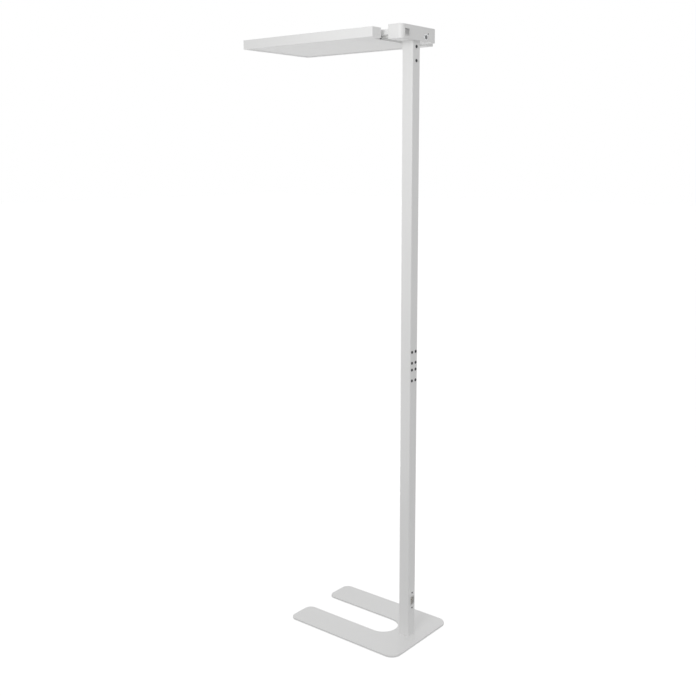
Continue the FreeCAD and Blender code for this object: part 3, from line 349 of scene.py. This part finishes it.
FINISHES = {
    "white_steel": lambda name: powder_coat(name, colours().powder_white),
    "white_aluminium": lambda name: powder_coat(name, colours().powder_white),
    "bare_aluminium": lambda name: sheet_metal(
        name, (0.78, 0.79, 0.80), roughness=0.38, lines=LINES_ALONG),
    "plated_steel": lambda name: sheet_metal(
        name, (0.60, 0.61, 0.62), roughness=0.32, lines=EVEN),
    "spring_steel": lambda name: sheet_metal(
        name, (0.64, 0.65, 0.67), roughness=0.22, lines=LINES_ALONG),
    "contact_brass": lambda name: sheet_metal(
        name, (0.66, 0.62, 0.54), roughness=0.25, lines=LINES_ALONG),
    "button_ring": lambda name: sheet_metal(
        name, colours().ring_metal, roughness=0.24, lines=EVEN),
    "dark_screws": lambda name: blackened(name, colours().screw_black),
    "black_plastic": lambda name: moulded(name, colours().moulded_black, roughness=0.50),
    "white_plastic": lambda name: moulded(
        name, colours().moulded_white, roughness=0.44, grain=0.000012),
    "rocker_plastic": lambda name: moulded(
        name, colours().paddle_grey, roughness=0.30, grain=0.000006),
    "button_plastic": lambda name: moulded(
        name, colours().button_grey, roughness=0.34, grain=0.000008),
    "lead_sheath": lambda name: moulded(
        name, (0.66, 0.66, 0.65), roughness=0.48, grain=0.000015),
    "wire_insulation": lambda name: moulded(
        name, (0.45, 0.16, 0.05), roughness=0.36, grain=0.000008),
    "reflector_white": lambda name: moulded(
        name, (0.88, 0.88, 0.88), roughness=0.55, grain=0.00001),
    "terminal_grey": lambda name: moulded(name, (0.42, 0.43, 0.45), roughness=0.42),
    "driver_case": lambda name: moulded(name, (0.74, 0.74, 0.73), roughness=0.46),
    "grommet_rubber": lambda name: rubber(name, colours().rubber_black),
    "pad_rubber": lambda name: rubber(name, (0.06, 0.06, 0.06)),
    "board_green": lambda name: circuit_board(name, (0.03, 0.20, 0.09)),
    "board_white": lambda name: circuit_board(name, (0.82, 0.82, 0.80)),
    "opal_diffuser": lambda name: prism_sheet(name, colours().opal_white),
    "clear_guide": lambda name: clear_sheet(name, (0.88, 0.92, 0.93)),
    "dark_lens": lambda name: smoked_lens(name, (0.05, 0.05, 0.055)),
}


def finish_of(slot):
    """The finish of a slot, made when it is first asked for."""
    name = f"{slot}_finish"
    return bpy.data.materials.get(name) or FINISHES[slot](name)


def dress(*nodes):
    """Give the frame's own pieces the finish of their slots."""
    for node in nodes:
        for holder in frame["nodes"][node].material_slots:
            holder.material = finish_of(SLOT_OF[node])


# ---------------------------------------------------------------- making pieces
def deselect():
    """Leave edit mode, with nothing selected."""
    if bpy.context.object and bpy.context.object.mode != "OBJECT":
        bpy.ops.object.mode_set(mode="OBJECT")
    bpy.ops.object.select_all(action="DESELECT")


def use(piece):
    """Make a piece the only selected and the active one."""
    deselect()
    piece.select_set(True)
    bpy.context.view_layer.objects.active = piece


def edit(piece):
    """Open a piece in edit mode."""
    use(piece)
    bpy.ops.object.mode_set(mode="EDIT")


def done_editing():
    bpy.ops.object.mode_set(mode="OBJECT")


def pick(piece, kind, wanted):
    """Select the vertices, edges or faces of a piece in edit mode that pass a test."""
    bpy.ops.mesh.select_mode(type=kind)
    bpy.ops.mesh.select_all(action="DESELECT")
    mesh = bmesh.from_edit_mesh(piece.data)
    parts = {"VERT": mesh.verts, "EDGE": mesh.edges, "FACE": mesh.faces}[kind]
    for part in parts:
        if wanted(part):
            part.select = True
    mesh.select_flush_mode()
    bmesh.update_edit_mesh(piece.data)


def middle_of(edge):
    return (edge.verts[0].co + edge.verts[1].co) / 2


def is_corner(edge):
    """Whether the two faces beside an edge meet at a real corner."""
    return len(edge.link_faces) == 2 and edge.calc_face_angle(0.0) > CORNER_TURN


def same(one, other):
    return abs(one - other) < SAME_PLACE


def box_piece(name, low, high):
    """A box at its place, as a start."""
    deselect()
    bpy.ops.mesh.primitive_cube_add(size=1, location=(low + high) / 2, scale=high - low)
    piece = bpy.context.object
    piece.name = name
    bpy.ops.object.transform_apply(location=True, rotation=True, scale=True)
    return piece


def merged_copy(node, name):
    """A welded copy of a frame piece, with its flat faces whole again."""
    piece = bpy.data.objects.new(name, frame["nodes"][node].data.copy())
    bpy.context.scene.collection.objects.link(piece)
    edit(piece)
    bpy.ops.mesh.select_all(action="SELECT")
    bpy.ops.mesh.remove_doubles(threshold=WELD_GAP)
    bpy.ops.mesh.select_all(action="SELECT")
    bpy.ops.mesh.dissolve_limited(angle_limit=FLAT_TURN)
    done_editing()
    return piece


def round_edges(piece, wanted, width, segments=3):
    """Round the real corners that pass a test of their middle and edge."""
    edit(piece)
    pick(piece, "EDGE", lambda edge: is_corner(edge) and wanted(middle_of(edge), edge))
    bpy.ops.mesh.bevel(offset=width, segments=segments, affect="EDGES", clamp_overlap=True)
    done_editing()


def extrude(way):
    """Draw out what is selected in edit mode."""
    bpy.ops.mesh.extrude_region_move(
        TRANSFORM_OT_translate={"value": way, "orient_type": "GLOBAL"})


def turned_piece(name, centre, axis, profile, sides=48, solid=True):
    """A turned piece: a circle drawn out ring by ring along X, Y or Z. The profile holds pairs of
    the radius and the distance along the axis from the centre. A piece that isn't solid is a
    ring, whose profile ends where it starts."""
    along = Vector([float(letter == axis) for letter in "XYZ"])
    turn = {"Z": (0, 0, 0), "Y": (math.pi / 2, 0, 0), "X": (0, math.pi / 2, 0)}[axis]
    radius, start = profile[0]
    deselect()
    bpy.ops.mesh.primitive_circle_add(
        vertices=sides, radius=radius, location=centre + along * start, rotation=turn)
    piece = bpy.context.object
    piece.name = name
    bpy.ops.object.transform_apply(location=True, rotation=True, scale=True)
    edit(piece)
    bpy.ops.mesh.select_all(action="SELECT")
    if solid:
        bpy.ops.mesh.edge_face_add()
        bpy.ops.mesh.select_all(action="SELECT")
    for (old_radius, old_place), (new_radius, new_place) in zip(profile, profile[1:]):
        extrude(along * (new_place - old_place))
        grow = new_radius / old_radius
        factors = Vector((grow, grow, grow))
        for number, letter in enumerate("XYZ"):
            if letter == axis:
                factors[number] = 1.0
        bpy.ops.transform.resize(value=factors, center_override=centre + along * new_place)
    if not solid:
        bpy.ops.mesh.select_all(action="SELECT")
        bpy.ops.mesh.remove_doubles(threshold=WELD_GAP)
    bpy.ops.mesh.select_all(action="SELECT")
    bpy.ops.mesh.normals_make_consistent(inside=False)
    done_editing()
    return piece


def shade(piece):
    """Smooth the rounds, and keep large flat faces evenly lit beside them."""
    use(piece)
    bpy.ops.object.shade_smooth_by_angle(angle=SMOOTH_TURN)
    bpy.ops.object.modifier_add(type="WEIGHTED_NORMAL")
    modifier = piece.modifiers[-1]
    modifier.keep_sharp = True
    bpy.ops.object.modifier_apply(modifier=modifier.name)


def clothe(piece, *nodes):
    """Give a new piece the finish of the frame pieces that it stands for."""
    slot = SLOT_OF[nodes[0]]
    piece.data.materials.clear()
    piece.data.materials.append(finish_of(slot))
    shade(piece)
    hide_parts(*nodes)


def fit(piece, body, *nodes):
    """Clothe a new piece and let it ride on a body."""
    clothe(piece, *nodes)
    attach(piece, body)


def join(pieces, name):
    """Make one piece of several."""
    deselect()
    for piece in pieces:
        piece.select_set(True)
    bpy.context.view_layer.objects.active = pieces[0]
    bpy.ops.object.join()
    pieces[0].name = name
    return pieces[0]


# ---------------------------------------------------------------- foot
class LAMP_OT_foot(bpy.types.Operator):
    """Finish the foot plate, and round the lower edges of its pads"""
    bl_idname = "lamp.foot"
    bl_label = "Foot"

    def execute(self, context):
        plate = merged_copy("base_plate", "foot_plate")
        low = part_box("base_plate")[0].z
        round_edges(plate, lambda middle, edge: same(middle.z, low), sizes().seam_round)
        fit(plate, "lamp", "base_plate")
        pads = merged_copy("base_pads", "foot_pads")
        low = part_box("base_pads")[0].z
        round_edges(pads, lambda middle, edge: same(middle.z, low), sizes().pad_round)
        fit(pads, "lamp", "base_pads")
        dress("foot_block", "foot_screws")
        return {"FINISHED"}


# ---------------------------------------------------------------- pole
class LAMP_OT_pole(bpy.types.Operator):
    """Finish the two lengths of the square pole, with a fine groove where they meet"""
    bl_idname = "lamp.pole"
    bl_label = "Pole"

    def execute(self, context):
        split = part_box("lower_pole")[1].z
        for node, name in (("lower_pole", "pole_lower_tube"), ("upper_pole", "pole_upper_tube")):
            tube = merged_copy(node, name)
            round_edges(tube, lambda middle, edge: same(middle.z, split), sizes().seam_round)
            fit(tube, "lamp", node)
        dress("joint_sleeve", "mains_lead")
        return {"FINISHED"}


# ---------------------------------------------------------------- screws
DOME_TURN = math.radians(68)       # how far round a screw's dome goes from its rim
DOME_STEPS = 6
SOCKET_DEPTH = 0.62                # depth of a screw's socket, as a share of its head's height


def button_head_screw(name, seat, radius, height, shank_radius, shank_length, socket):
    """A button-head screw along -Y from its seat: a domed head with a six-sided socket."""
    dome = [(shank_radius, -shank_length), (shank_radius, 0.0), (radius, 0.0)]
    for step in range(1, DOME_STEPS + 1):
        angle = DOME_TURN * step / DOME_STEPS
        dome.append((radius * math.cos(angle), height * math.sin(angle) / math.sin(DOME_TURN)))
    screw = turned_piece(name, seat, "Y", dome, sides=24)
    edit(screw)
    top = seat.y + height
    pick(screw, "FACE",
         lambda face: len(face.verts) > 4 and same(face.calc_center_median().y, top))
    bpy.ops.mesh.delete(type="ONLY_FACE")
    bpy.ops.mesh.primitive_circle_add(
        vertices=6, radius=socket / math.sqrt(3), location=seat + Vector((0, height, 0)),
        rotation=(math.pi / 2, 0, 0))
    bpy.ops.mesh.subdivide(number_cuts=3)
    pick(screw, "EDGE", lambda edge: edge.is_boundary or edge.is_wire)
    bpy.ops.mesh.bridge_edge_loops()
    pick(screw, "EDGE", lambda edge: edge.is_boundary)
    extrude((0, -height * SOCKET_DEPTH, 0))
    bpy.ops.mesh.edge_face_add()
    bpy.ops.mesh.select_all(action="SELECT")
    bpy.ops.mesh.normals_make_consistent(inside=False)
    done_editing()
    return screw


def solid_boxes(node):
    """Low and high corners of each separate solid of a frame piece."""
    mesh = bmesh.new()
    mesh.from_mesh(frame["nodes"][node].data)
    bmesh.ops.remove_doubles(mesh, verts=mesh.verts, dist=WELD_GAP)
    waiting = set(mesh.verts)
    boxes = []
    while waiting:
        reached, solid = [waiting.pop()], []
        while reached:
            vertex = reached.pop()
            solid.append(vertex.co.copy())
            near = {edge.other_vert(vertex) for edge in vertex.link_edges} & waiting
            waiting -= near
            reached.extend(near)
        boxes.append(tuple(Vector([limit(place[axis] for place in solid) for axis in range(3)])
                           for limit in (min, max)))
    mesh.free()
    return sorted(boxes, key=lambda box: tuple(box[0]))


class LAMP_OT_screws(bpy.types.Operator):
    """Model the blackened button-head screws on the pole and the inlet"""
    bl_idname = "lamp.screws"
    bl_label = "Screws"

    def execute(self, context):
        # height of the head, radius of the shank, width of the socket across its flats
        m5, m3 = (0.00275, 0.0025, 0.0030), (0.00165, 0.0015, 0.0020)
        for node, (height, shank, socket) in (
                ("joint_screws", m5), ("spigot_screws", m5), ("inlet_screws", m3)):
            pieces = []
            for number, (low, high) in enumerate(solid_boxes(node)):
                seat = Vector(((low.x + high.x) / 2, high.y - height, (low.z + high.z) / 2))
                radius = (high.x - low.x) / 2
                pieces.append(button_head_screw(
                    f"{node}_{number}", seat, radius, height, shank, seat.y - low.y, socket))
            fit(join(pieces, f"{node}_domed"), "lamp", node)
        return {"FINISHED"}


# ---------------------------------------------------------------- mains inlet
class LAMP_OT_mains_inlet(bpy.types.Operator):
    """Finish the mains inlet: its plate, its moulded body and its blades"""
    bl_idname = "lamp.mains_inlet"
    bl_label = "Mains inlet"

    def execute(self, context):
        plate = merged_copy("inlet_plate", "inlet_cover_plate")
        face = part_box("inlet_plate")[1].y
        round_edges(plate, lambda middle, edge: same(middle.y, face), sizes().plate_round)
        fit(plate, "lamp", "inlet_plate")
        body = merged_copy("inlet_body", "inlet_moulding")
        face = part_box("inlet_body")[1].y
        round_edges(body, lambda middle, edge: same(middle.y, face), sizes().inlet_round)
        fit(body, "lamp", "inlet_body")
        dress("inlet_pins", "inlet_boot")
        return {"FINISHED"}


# ---------------------------------------------------------------- control housing
class LAMP_OT_control_housing(bpy.types.Operator):
    """Finish the control housing and its lid, with a fine groove between them"""
    bl_idname = "lamp.control_housing"
    bl_label = "Control housing"

    def execute(self, context):
        low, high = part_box("housing_shell")
        shell = merged_copy("housing_shell", "control_housing_shell")
        # round of the upright corners, and how far inside it an edge still counts as the outline
        rear_round, rear_slack = 0.014, 0.0005
        front_round, front_slack = 0.002, 0.0002

        def beside(middle):
            sides = (same(abs(middle.x), high.x), same(middle.y, low.y), same(middle.y, high.y))
            return any(sides)

        def outline(middle, edge):
            level = same(middle.z, low.z) or same(middle.z, high.z)
            place = Vector((abs(middle.x), middle.y))
            rear = place - Vector((high.x - rear_round, high.y - rear_round))
            on_rear = min(rear) > 0 and rear.length > rear_round - rear_slack
            front = place - Vector((high.x - front_round, low.y + front_round))
            on_front = front.x > 0 > front.y and front.length > front_round - front_slack
            return level and (beside(middle) or on_rear or on_front)

        round_edges(shell, outline, sizes().seam_round)
        fit(shell, "lamp", "housing_shell")
        lid = merged_copy("housing_lid", "control_housing_lid")
        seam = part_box("housing_shell")[1].z

        def lid_outline(middle, edge):
            below = Vector((middle.x, middle.y, high.z))
            return same(middle.z, seam) and outline(below, edge)

        round_edges(lid, lid_outline, sizes().seam_round)
        fit(lid, "lamp", "housing_lid")
        dress("head_bracket", "bracket_screws", "lid_screws", "terminal_block", "control_board",
              "board_screws", "board_leads", "tact_switch")
        return {"FINISHED"}


# ---------------------------------------------------------------- rocker switch
BEZEL_OVERLAP = 0.001              # how far the bezel covers the edge of its cut-out
BEZEL_RIM = 0.0022                 # from the bezel's outer edge to the well
WELL_BEVEL = 0.0003                # small slope round the mouth of the well
WELL_FLOOR = 0.003                 # thickness behind the well
PIVOT_DEPTH = 0.0035               # behind the housing's face
PADDLE_ROOT = 0.0013               # the paddle's back, behind the housing's face
PADDLE_RISE = 0.0030               # the paddle's front, before the housing's face
PADDLE_HALF_WIDTH = 0.0096
PADDLE_HALF_HEIGHT = 0.0074
PADDLE_HOLLOW = 0.0018             # depth of the hollow that a finger presses
PADDLE_CUTS = 12                   # strips that form the hollow
PADDLE_TILT = math.radians(9)      # half the rocker's travel
HUB_RADIUS = 0.0026
PIN_RADIUS, PIN_LENGTH = 0.0012, 0.001     # the pins that the paddle turns on


class LAMP_OT_rocker_switch(bpy.types.Operator):
    """Model the rocker switch: a bezel with a deep well and a hollowed paddle"""
    bl_idname = "lamp.rocker_switch"
    bl_label = "Rocker switch"

    def execute(self, context):
        low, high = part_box("rocker_housing")
        shell_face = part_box("housing_shell")[1].y
        centre = (low + high) / 2
        fit(self.bezel(low, high, shell_face), "lamp", "rocker_housing")
        pivot = Vector((centre.x, shell_face - PIVOT_DEPTH, centre.z))
        paddle = self.paddle(pivot, shell_face)
        hub = turned_piece("rocker_hub", pivot - Vector((PADDLE_HALF_WIDTH, 0, 0)), "X", [
            (PIN_RADIUS, -PIN_LENGTH), (PIN_RADIUS, 0.0), (HUB_RADIUS, 0.0),
            (HUB_RADIUS, 2 * PADDLE_HALF_WIDTH), (PIN_RADIUS, 2 * PADDLE_HALF_WIDTH),
            (PIN_RADIUS, 2 * PADDLE_HALF_WIDTH + PIN_LENGTH)], sides=24)
        fit(join([paddle, hub], "rocker_paddle"), "rocker", "rocker")
        dress("rocker_tabs", "switch_leads")
        return {"FINISHED"}

    def bezel(self, low, high, shell_face):
        """The bezel before the housing's face, the body behind it and the well through both."""
        bezel = box_piece("rocker_bezel", Vector((low.x, shell_face, low.z)), high)
        edit(bezel)
        pick(bezel, "FACE", lambda face: face.normal.y < -FACING)
        bpy.ops.mesh.inset(thickness=BEZEL_OVERLAP, use_even_offset=True)
        extrude((0, low.y - shell_face, 0))
        done_editing()
        half_way = shell_face + 0.0005
        round_edges(bezel, lambda middle, edge: middle.y > half_way, sizes().bezel_round, 4)
        edit(bezel)
        pick(bezel, "FACE", lambda face: face.normal.y > FACING_SQUARELY)
        bpy.ops.mesh.inset(thickness=BEZEL_RIM - sizes().bezel_round, use_even_offset=True)
        bpy.ops.mesh.inset(thickness=WELL_BEVEL, depth=-WELL_BEVEL, use_even_offset=True)
        extrude((0, low.y + WELL_FLOOR - high.y, 0))
        done_editing()
        return bezel

    def paddle(self, pivot, shell_face):
        """The paddle, hollowed across its height and tipped to its resting side."""
        front = shell_face + PADDLE_RISE
        bottom = pivot.z - PADDLE_HALF_HEIGHT
        paddle = box_piece(
            "rocker_paddle",
            Vector((pivot.x - PADDLE_HALF_WIDTH, shell_face - PADDLE_ROOT, bottom)),
            Vector((pivot.x + PADDLE_HALF_WIDTH, front, pivot.z + PADDLE_HALF_HEIGHT)))
        heights = [bottom + 2 * PADDLE_HALF_HEIGHT * number / PADDLE_CUTS
                   for number in range(1, PADDLE_CUTS)]
        edit(paddle)
        for height in heights:
            bpy.ops.mesh.select_all(action="SELECT")
            bpy.ops.mesh.bisect(plane_co=(0, 0, height), plane_no=(0, 0, 1))
        for height in heights:
            away = (height - pivot.z) / PADDLE_HALF_HEIGHT
            pick(paddle, "VERT",
                 lambda vertex: same(vertex.co.z, height) and same(vertex.co.y, front))
            bpy.ops.transform.translate(value=(0, -PADDLE_HOLLOW * (1 - away * away), 0))
        done_editing()
        behind = shell_face - 0.001
        round_edges(paddle, lambda middle, edge: middle.y > behind, sizes().paddle_round)
        edit(paddle)
        bpy.ops.mesh.select_all(action="SELECT")
        bpy.ops.transform.rotate(
            value=PADDLE_TILT, orient_axis="X", orient_type="GLOBAL", center_override=pivot)
        done_editing()
        return paddle


# ---------------------------------------------------------------- push button
RING_THREAD = 0.00685              # radius of the ring's threaded part in the housing
RING_BORE = 0.00585
RING_MOUTH = 0.0067                # radius where the ring's face turns into its bore
STEM_RADIUS = 0.0016
STEM_CLEARANCE = 0.0001            # air left under the stem when the button is pressed home
COLLAR_RADIUS = 0.0068
COLLAR_BACK, COLLAR_FRONT = -0.0063, -0.0048    # from the housing's face
CAP_RADIUS = 0.0057


class LAMP_OT_push_button(bpy.types.Operator):
    """Turn the push button, its ring and the small lens, and finish the spring"""
    bl_idname = "lamp.push_button"
    bl_label = "Push button"

    def execute(self, context):
        low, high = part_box("button_bezel")
        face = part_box("housing_shell")[1].y
        centre = Vector(((low.x + high.x) / 2, face, (low.z + high.z) / 2))
        outer = (high.x - low.x) / 2
        rise = high.y - face
        ring = turned_piece("button_ring", centre, "Y", [
            (RING_THREAD, low.y - face), (RING_THREAD, 0.0), (outer, 0.0), (outer, rise * 0.45),
            (outer - 0.0002, rise * 0.75), (outer - 0.0006, rise * 0.95),
            (outer - 0.0011, rise), (RING_MOUTH, rise), (0.0062, rise * 0.85),
            (RING_BORE, rise * 0.5), (RING_BORE, low.y - face),
            (RING_THREAD, low.y - face)], solid=False)
        fit(ring, "lamp", "button_bezel")

        low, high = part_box("push_button")
        cap = high.y - face
        dish = sizes().button_dish
        button = turned_piece("button_cap", centre, "Y", [
            (STEM_RADIUS, low.y - face + STEM_CLEARANCE), (STEM_RADIUS, COLLAR_BACK),
            (COLLAR_RADIUS, COLLAR_BACK), (COLLAR_RADIUS, COLLAR_FRONT),
            (CAP_RADIUS, COLLAR_FRONT), (CAP_RADIUS, cap - 0.0007), (0.0056, cap - 0.0003),
            (0.0053, cap - 0.00007), (0.0049, cap), (0.0044, cap - dish * 0.2),
            (0.0036, cap - dish * 0.55), (0.0024, cap - dish * 0.85), (0.0010, cap - dish)])
        fit(button, "button", "push_button")

        low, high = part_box("indicator_lens")
        middle = (low + high) / 2
        radius = (high.x - low.x) / 2
        lens = turned_piece("indicator_dome", Vector((middle.x, face, middle.z)), "Y", [
            (radius, low.y - face), (radius, 0.0001), (radius * 0.94, 0.00025),
            (radius * 0.75, 0.0004), (radius * 0.45, 0.00048),
            (radius * 0.15, high.y - face)], sides=32)
        fit(lens, "lamp", "indicator_lens")

        coil = merged_copy("button_spring", "button_spring_coil")
        clothe(coil, "button_spring")
        low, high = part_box("button_spring")
        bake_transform(coil)
        return {"FINISHED"}


# ---------------------------------------------------------------- neck
class LAMP_OT_neck(bpy.types.Operator):
    """Finish the neck and the grommets that its lead passes through"""
    bl_idname = "lamp.neck"
    bl_label = "Neck"

    def execute(self, context):
        grommets = merged_copy("lead_grommets", "lead_grommets_moulded")
        round_edges(grommets, lambda middle, edge: True, sizes().seam_round)
        fit(grommets, "lamp", "lead_grommets")
        bar = merged_copy("neck_bar", "neck_bar_coated")
        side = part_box("neck_bar")[1].x
        round_edges(bar, lambda middle, edge: same(abs(middle.x), side), sizes().sheet_round)
        fit(bar, "lamp", "neck_bar")
        dress("neck_rear_screws", "neck_front_screws", "head_lead")
        return {"FINISHED"}


# ---------------------------------------------------------------- light head
WINDOW_BORDER = 0.004              # part of the light window that lies on the frame's lip
WINDOW_ROUND = 0.0003


class LAMP_OT_light_head(bpy.types.Operator):
    """Finish the light head: its frame, its cover and the light window"""
    bl_idname = "lamp.light_head"
    bl_label = "Light head"

    def execute(self, context):
        low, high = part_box("panel_frame")
        body = merged_copy("panel_frame", "light_head_frame")
        notch = 0.112                  # from the middle to each side of the notch for the neck

        def rims(middle, edge):
            flat = same(edge.verts[0].co.z, edge.verts[1].co.z)
            level = flat and (same(middle.z, low.z) or same(middle.z, high.z))
            upright = same(abs(middle.x), notch) and not flat
            return level or upright

        round_edges(body, rims, sizes().sheet_round)
        fit(body, "lamp", "panel_frame")
        cover = merged_copy("head_cover", "light_head_cover")
        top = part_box("head_cover")[1].z
        round_edges(cover, lambda middle, edge: same(middle.z, top), sizes().plate_round)
        fit(cover, "lamp", "head_cover")
        low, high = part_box("diffuser")
        window = box_piece("light_window", low, high)
        edit(window)
        pick(window, "FACE", lambda face: face.normal.z < -FACING)
        bpy.ops.mesh.inset(thickness=WINDOW_BORDER, use_even_offset=True)
        bpy.ops.mesh.subdivide(number_cuts=4)
        done_editing()
        round_edges(window, lambda middle, edge: True, WINDOW_ROUND, 2)
        fit(window, "lamp", "diffuser")
        dress("light_guide", "reflector_sheet", "led_strips", "back_tray", "tray_screws",
              "led_driver", "driver_screws", "driver_leads", "led_leads", "cover_screws",
              "panel_terminal")
        return {"FINISHED"}


# ---------------------------------------------------------------- stage
FLOOR_WIDTH = 60.0
CAMERA_PLACE = (2.33369, 1.67956, 1.56212)
CAMERA_AZIMUTH = math.radians(128.139)     # round from -Y towards +X
CAMERA_ELEVATION = math.radians(10.792)
CAMERA_LENS, CAMERA_SENSOR = 48.065, 36.0
CAMERA_SHIFT = (-0.03275, -0.015)


def seen_plainly(tree):
    """1 on the rays that show a background as it is: to the camera, mirrored or through glass."""
    path = tree.nodes.new("ShaderNodeLightPath")
    total = path.outputs["Is Camera Ray"]
    for name in ("Is Glossy Ray", "Is Transmission Ray"):
        add = tree.nodes.new("ShaderNodeMath")
        add.operation = "ADD"
        add.use_clamp = True
        tree.links.new(total, add.inputs[0])
        tree.links.new(path.outputs[name], add.inputs[1])
        total = add.outputs["Value"]
    return total


def spread(tree, value, low, high):
    """A number that goes from low to high as a value goes from 0 to 1."""
    made = tree.nodes.new("ShaderNodeMapRange")
    made.inputs["To Min"].default_value = low
    made.inputs["To Max"].default_value = high
    tree.links.new(value, made.inputs["Value"])
    return made.outputs["Result"]


def make_sky(studio):
    """An even light from all round that looks white wherever it is seen."""
    world = bpy.data.worlds.new("pale_sky")
    world.use_nodes = True
    bpy.context.scene.world = world
    tree = world.node_tree
    background = tree.nodes["Background"]
    background.inputs["Color"].default_value = (1.0, 1.0, 1.0, 1.0)
    light = spread(tree, seen_plainly(tree), studio.sky_light, 1.0)
    tree.links.new(light, background.inputs["Strength"])


def make_floor(studio):
    """A plain floor that keeps the lamp's shadow, and is clear when seen from below."""
    deselect()
    bpy.ops.mesh.primitive_plane_add(size=1)
    floor = bpy.context.object
    floor.name = "floor"
    edit(floor)
    bpy.ops.mesh.select_all(action="SELECT")
    bpy.ops.transform.resize(value=(FLOOR_WIDTH, FLOOR_WIDTH, 1), center_override=(0, 0, 0))
    bpy.ops.mesh.subdivide(number_cuts=6)
    done_editing()
    made = Finish("floor_paint")
    made.drift(studio.floor_colour, share=0.004, scale=0.5)
    made.set(Roughness=0.9, Specular_IOR_Level=0.1)
    glow = spread(made.tree, seen_plainly(made.tree), 0.0, studio.floor_glow)
    made.shader.inputs["Emission Color"].default_value = (1.0, 1.0, 1.0, 1.0)
    made.link(glow, made.shader.inputs["Emission Strength"])
    clear = made.add("ShaderNodeBsdfTransparent")
    side = made.add("ShaderNodeMixShader")
    made.link(made.add("ShaderNodeNewGeometry").outputs["Backfacing"], side.inputs["Fac"])
    made.link(made.shader.outputs["BSDF"], side.inputs[1])
    made.link(clear.outputs["BSDF"], side.inputs[2])
    made.link(side.outputs["Shader"], made.tree.nodes["Material Output"].inputs["Surface"])
    floor.data.materials.append(made.material)


def make_lamp(name, place, aim, size, power):
    """A round soft lamp that the camera doesn't see."""
    data = bpy.data.lights.new(name, "AREA")
    data.shape = "DISK"
    data.size = size
    data.energy = power
    lamp = bpy.data.objects.new(name, data)
    bpy.context.scene.collection.objects.link(lamp)
    lamp.location = place
    lamp.visible_camera = False
    lamp.rotation_euler = (Vector(aim) - Vector(place)).to_track_quat("-Z", "Y").to_euler()


def make_camera():
    """The photograph's viewing angle: from behind the lamp on its +X side, a little above its
    middle. Most of the photograph's own lens shift is taken up by the downward tilt."""
    level = math.cos(CAMERA_ELEVATION)
    back = Vector((math.sin(CAMERA_AZIMUTH) * level, -math.cos(CAMERA_AZIMUTH) * level,
                   math.sin(CAMERA_ELEVATION)))
    data = bpy.data.cameras.new("camera")
    data.sensor_width = CAMERA_SENSOR
    data.lens = CAMERA_LENS
    data.shift_x, data.shift_y = CAMERA_SHIFT
    camera = bpy.data.objects.new("camera", data)
    bpy.context.scene.collection.objects.link(camera)
    camera.location = CAMERA_PLACE
    camera.rotation_euler = (-back).to_track_quat("-Z", "Y").to_euler()
    bpy.context.scene.camera = camera


class LAMP_OT_stage(bpy.types.Operator):
    """Set up the floor, the sky, the soft lamps and the camera"""
    bl_idname = "lamp.stage"
    bl_label = "Stage"

    def execute(self, context):
        studio = context.scene.lamp_studio
        context.scene.view_settings.view_transform = "Standard"
        make_sky(studio)
        make_floor(studio)
        make_lamp("key", place=(1.5, 0.35, 1.95), aim=(0.0, -0.1, 1.85), size=0.7,
                  power=studio.key_power)
        make_lamp("fill", place=(-0.15, -0.6, 0.5), aim=(0.0, -0.3, 1.91), size=0.8,
                  power=studio.fill_power)
        make_camera()
        return {"FINISHED"}


# ---------------------------------------------------------------- panel and start
class LAMP_PT_sidebar(bpy.types.Panel):
    """Lists the lamp's pieces, sizes and colours"""
    bl_idname = "LAMP_PT_sidebar"
    bl_label = "Floor Lamp"
    bl_space_type = "VIEW_3D"
    bl_region_type = "UI"
    bl_category = "Floor Lamp"

    def draw(self, context):
        for operator in OPERATORS:
            self.layout.operator(operator.bl_idname)
        for name in GROUPS:
            group = getattr(context.scene, name)
            column = self.layout.column()
            for setting in group.__annotations__:
                column.prop(group, setting)


OPERATORS = (LAMP_OT_stage, LAMP_OT_foot, LAMP_OT_pole, LAMP_OT_screws, LAMP_OT_mains_inlet,
             LAMP_OT_control_housing, LAMP_OT_rocker_switch, LAMP_OT_push_button, LAMP_OT_neck,
             LAMP_OT_light_head)
GROUPS = {"lamp_sizes": LampSizes, "lamp_colours": LampColours, "lamp_studio": LampStudio}


def register():
    for cls in (*GROUPS.values(), *OPERATORS, LAMP_PT_sidebar):
        bpy.utils.register_class(cls)
    for name, group in GROUPS.items():
        setattr(bpy.types.Scene, name, bpy.props.PointerProperty(type=group))


def unregister():
    for name in GROUPS:
        delattr(bpy.types.Scene, name)
    for cls in reversed((*GROUPS.values(), *OPERATORS, LAMP_PT_sidebar)):
        bpy.utils.unregister_class(cls)


def main():
    register()
    for operator in OPERATORS:
        group, name = operator.bl_idname.split(".")
        getattr(getattr(bpy.ops, group), name)()


if __name__ == "__main__":
    main()
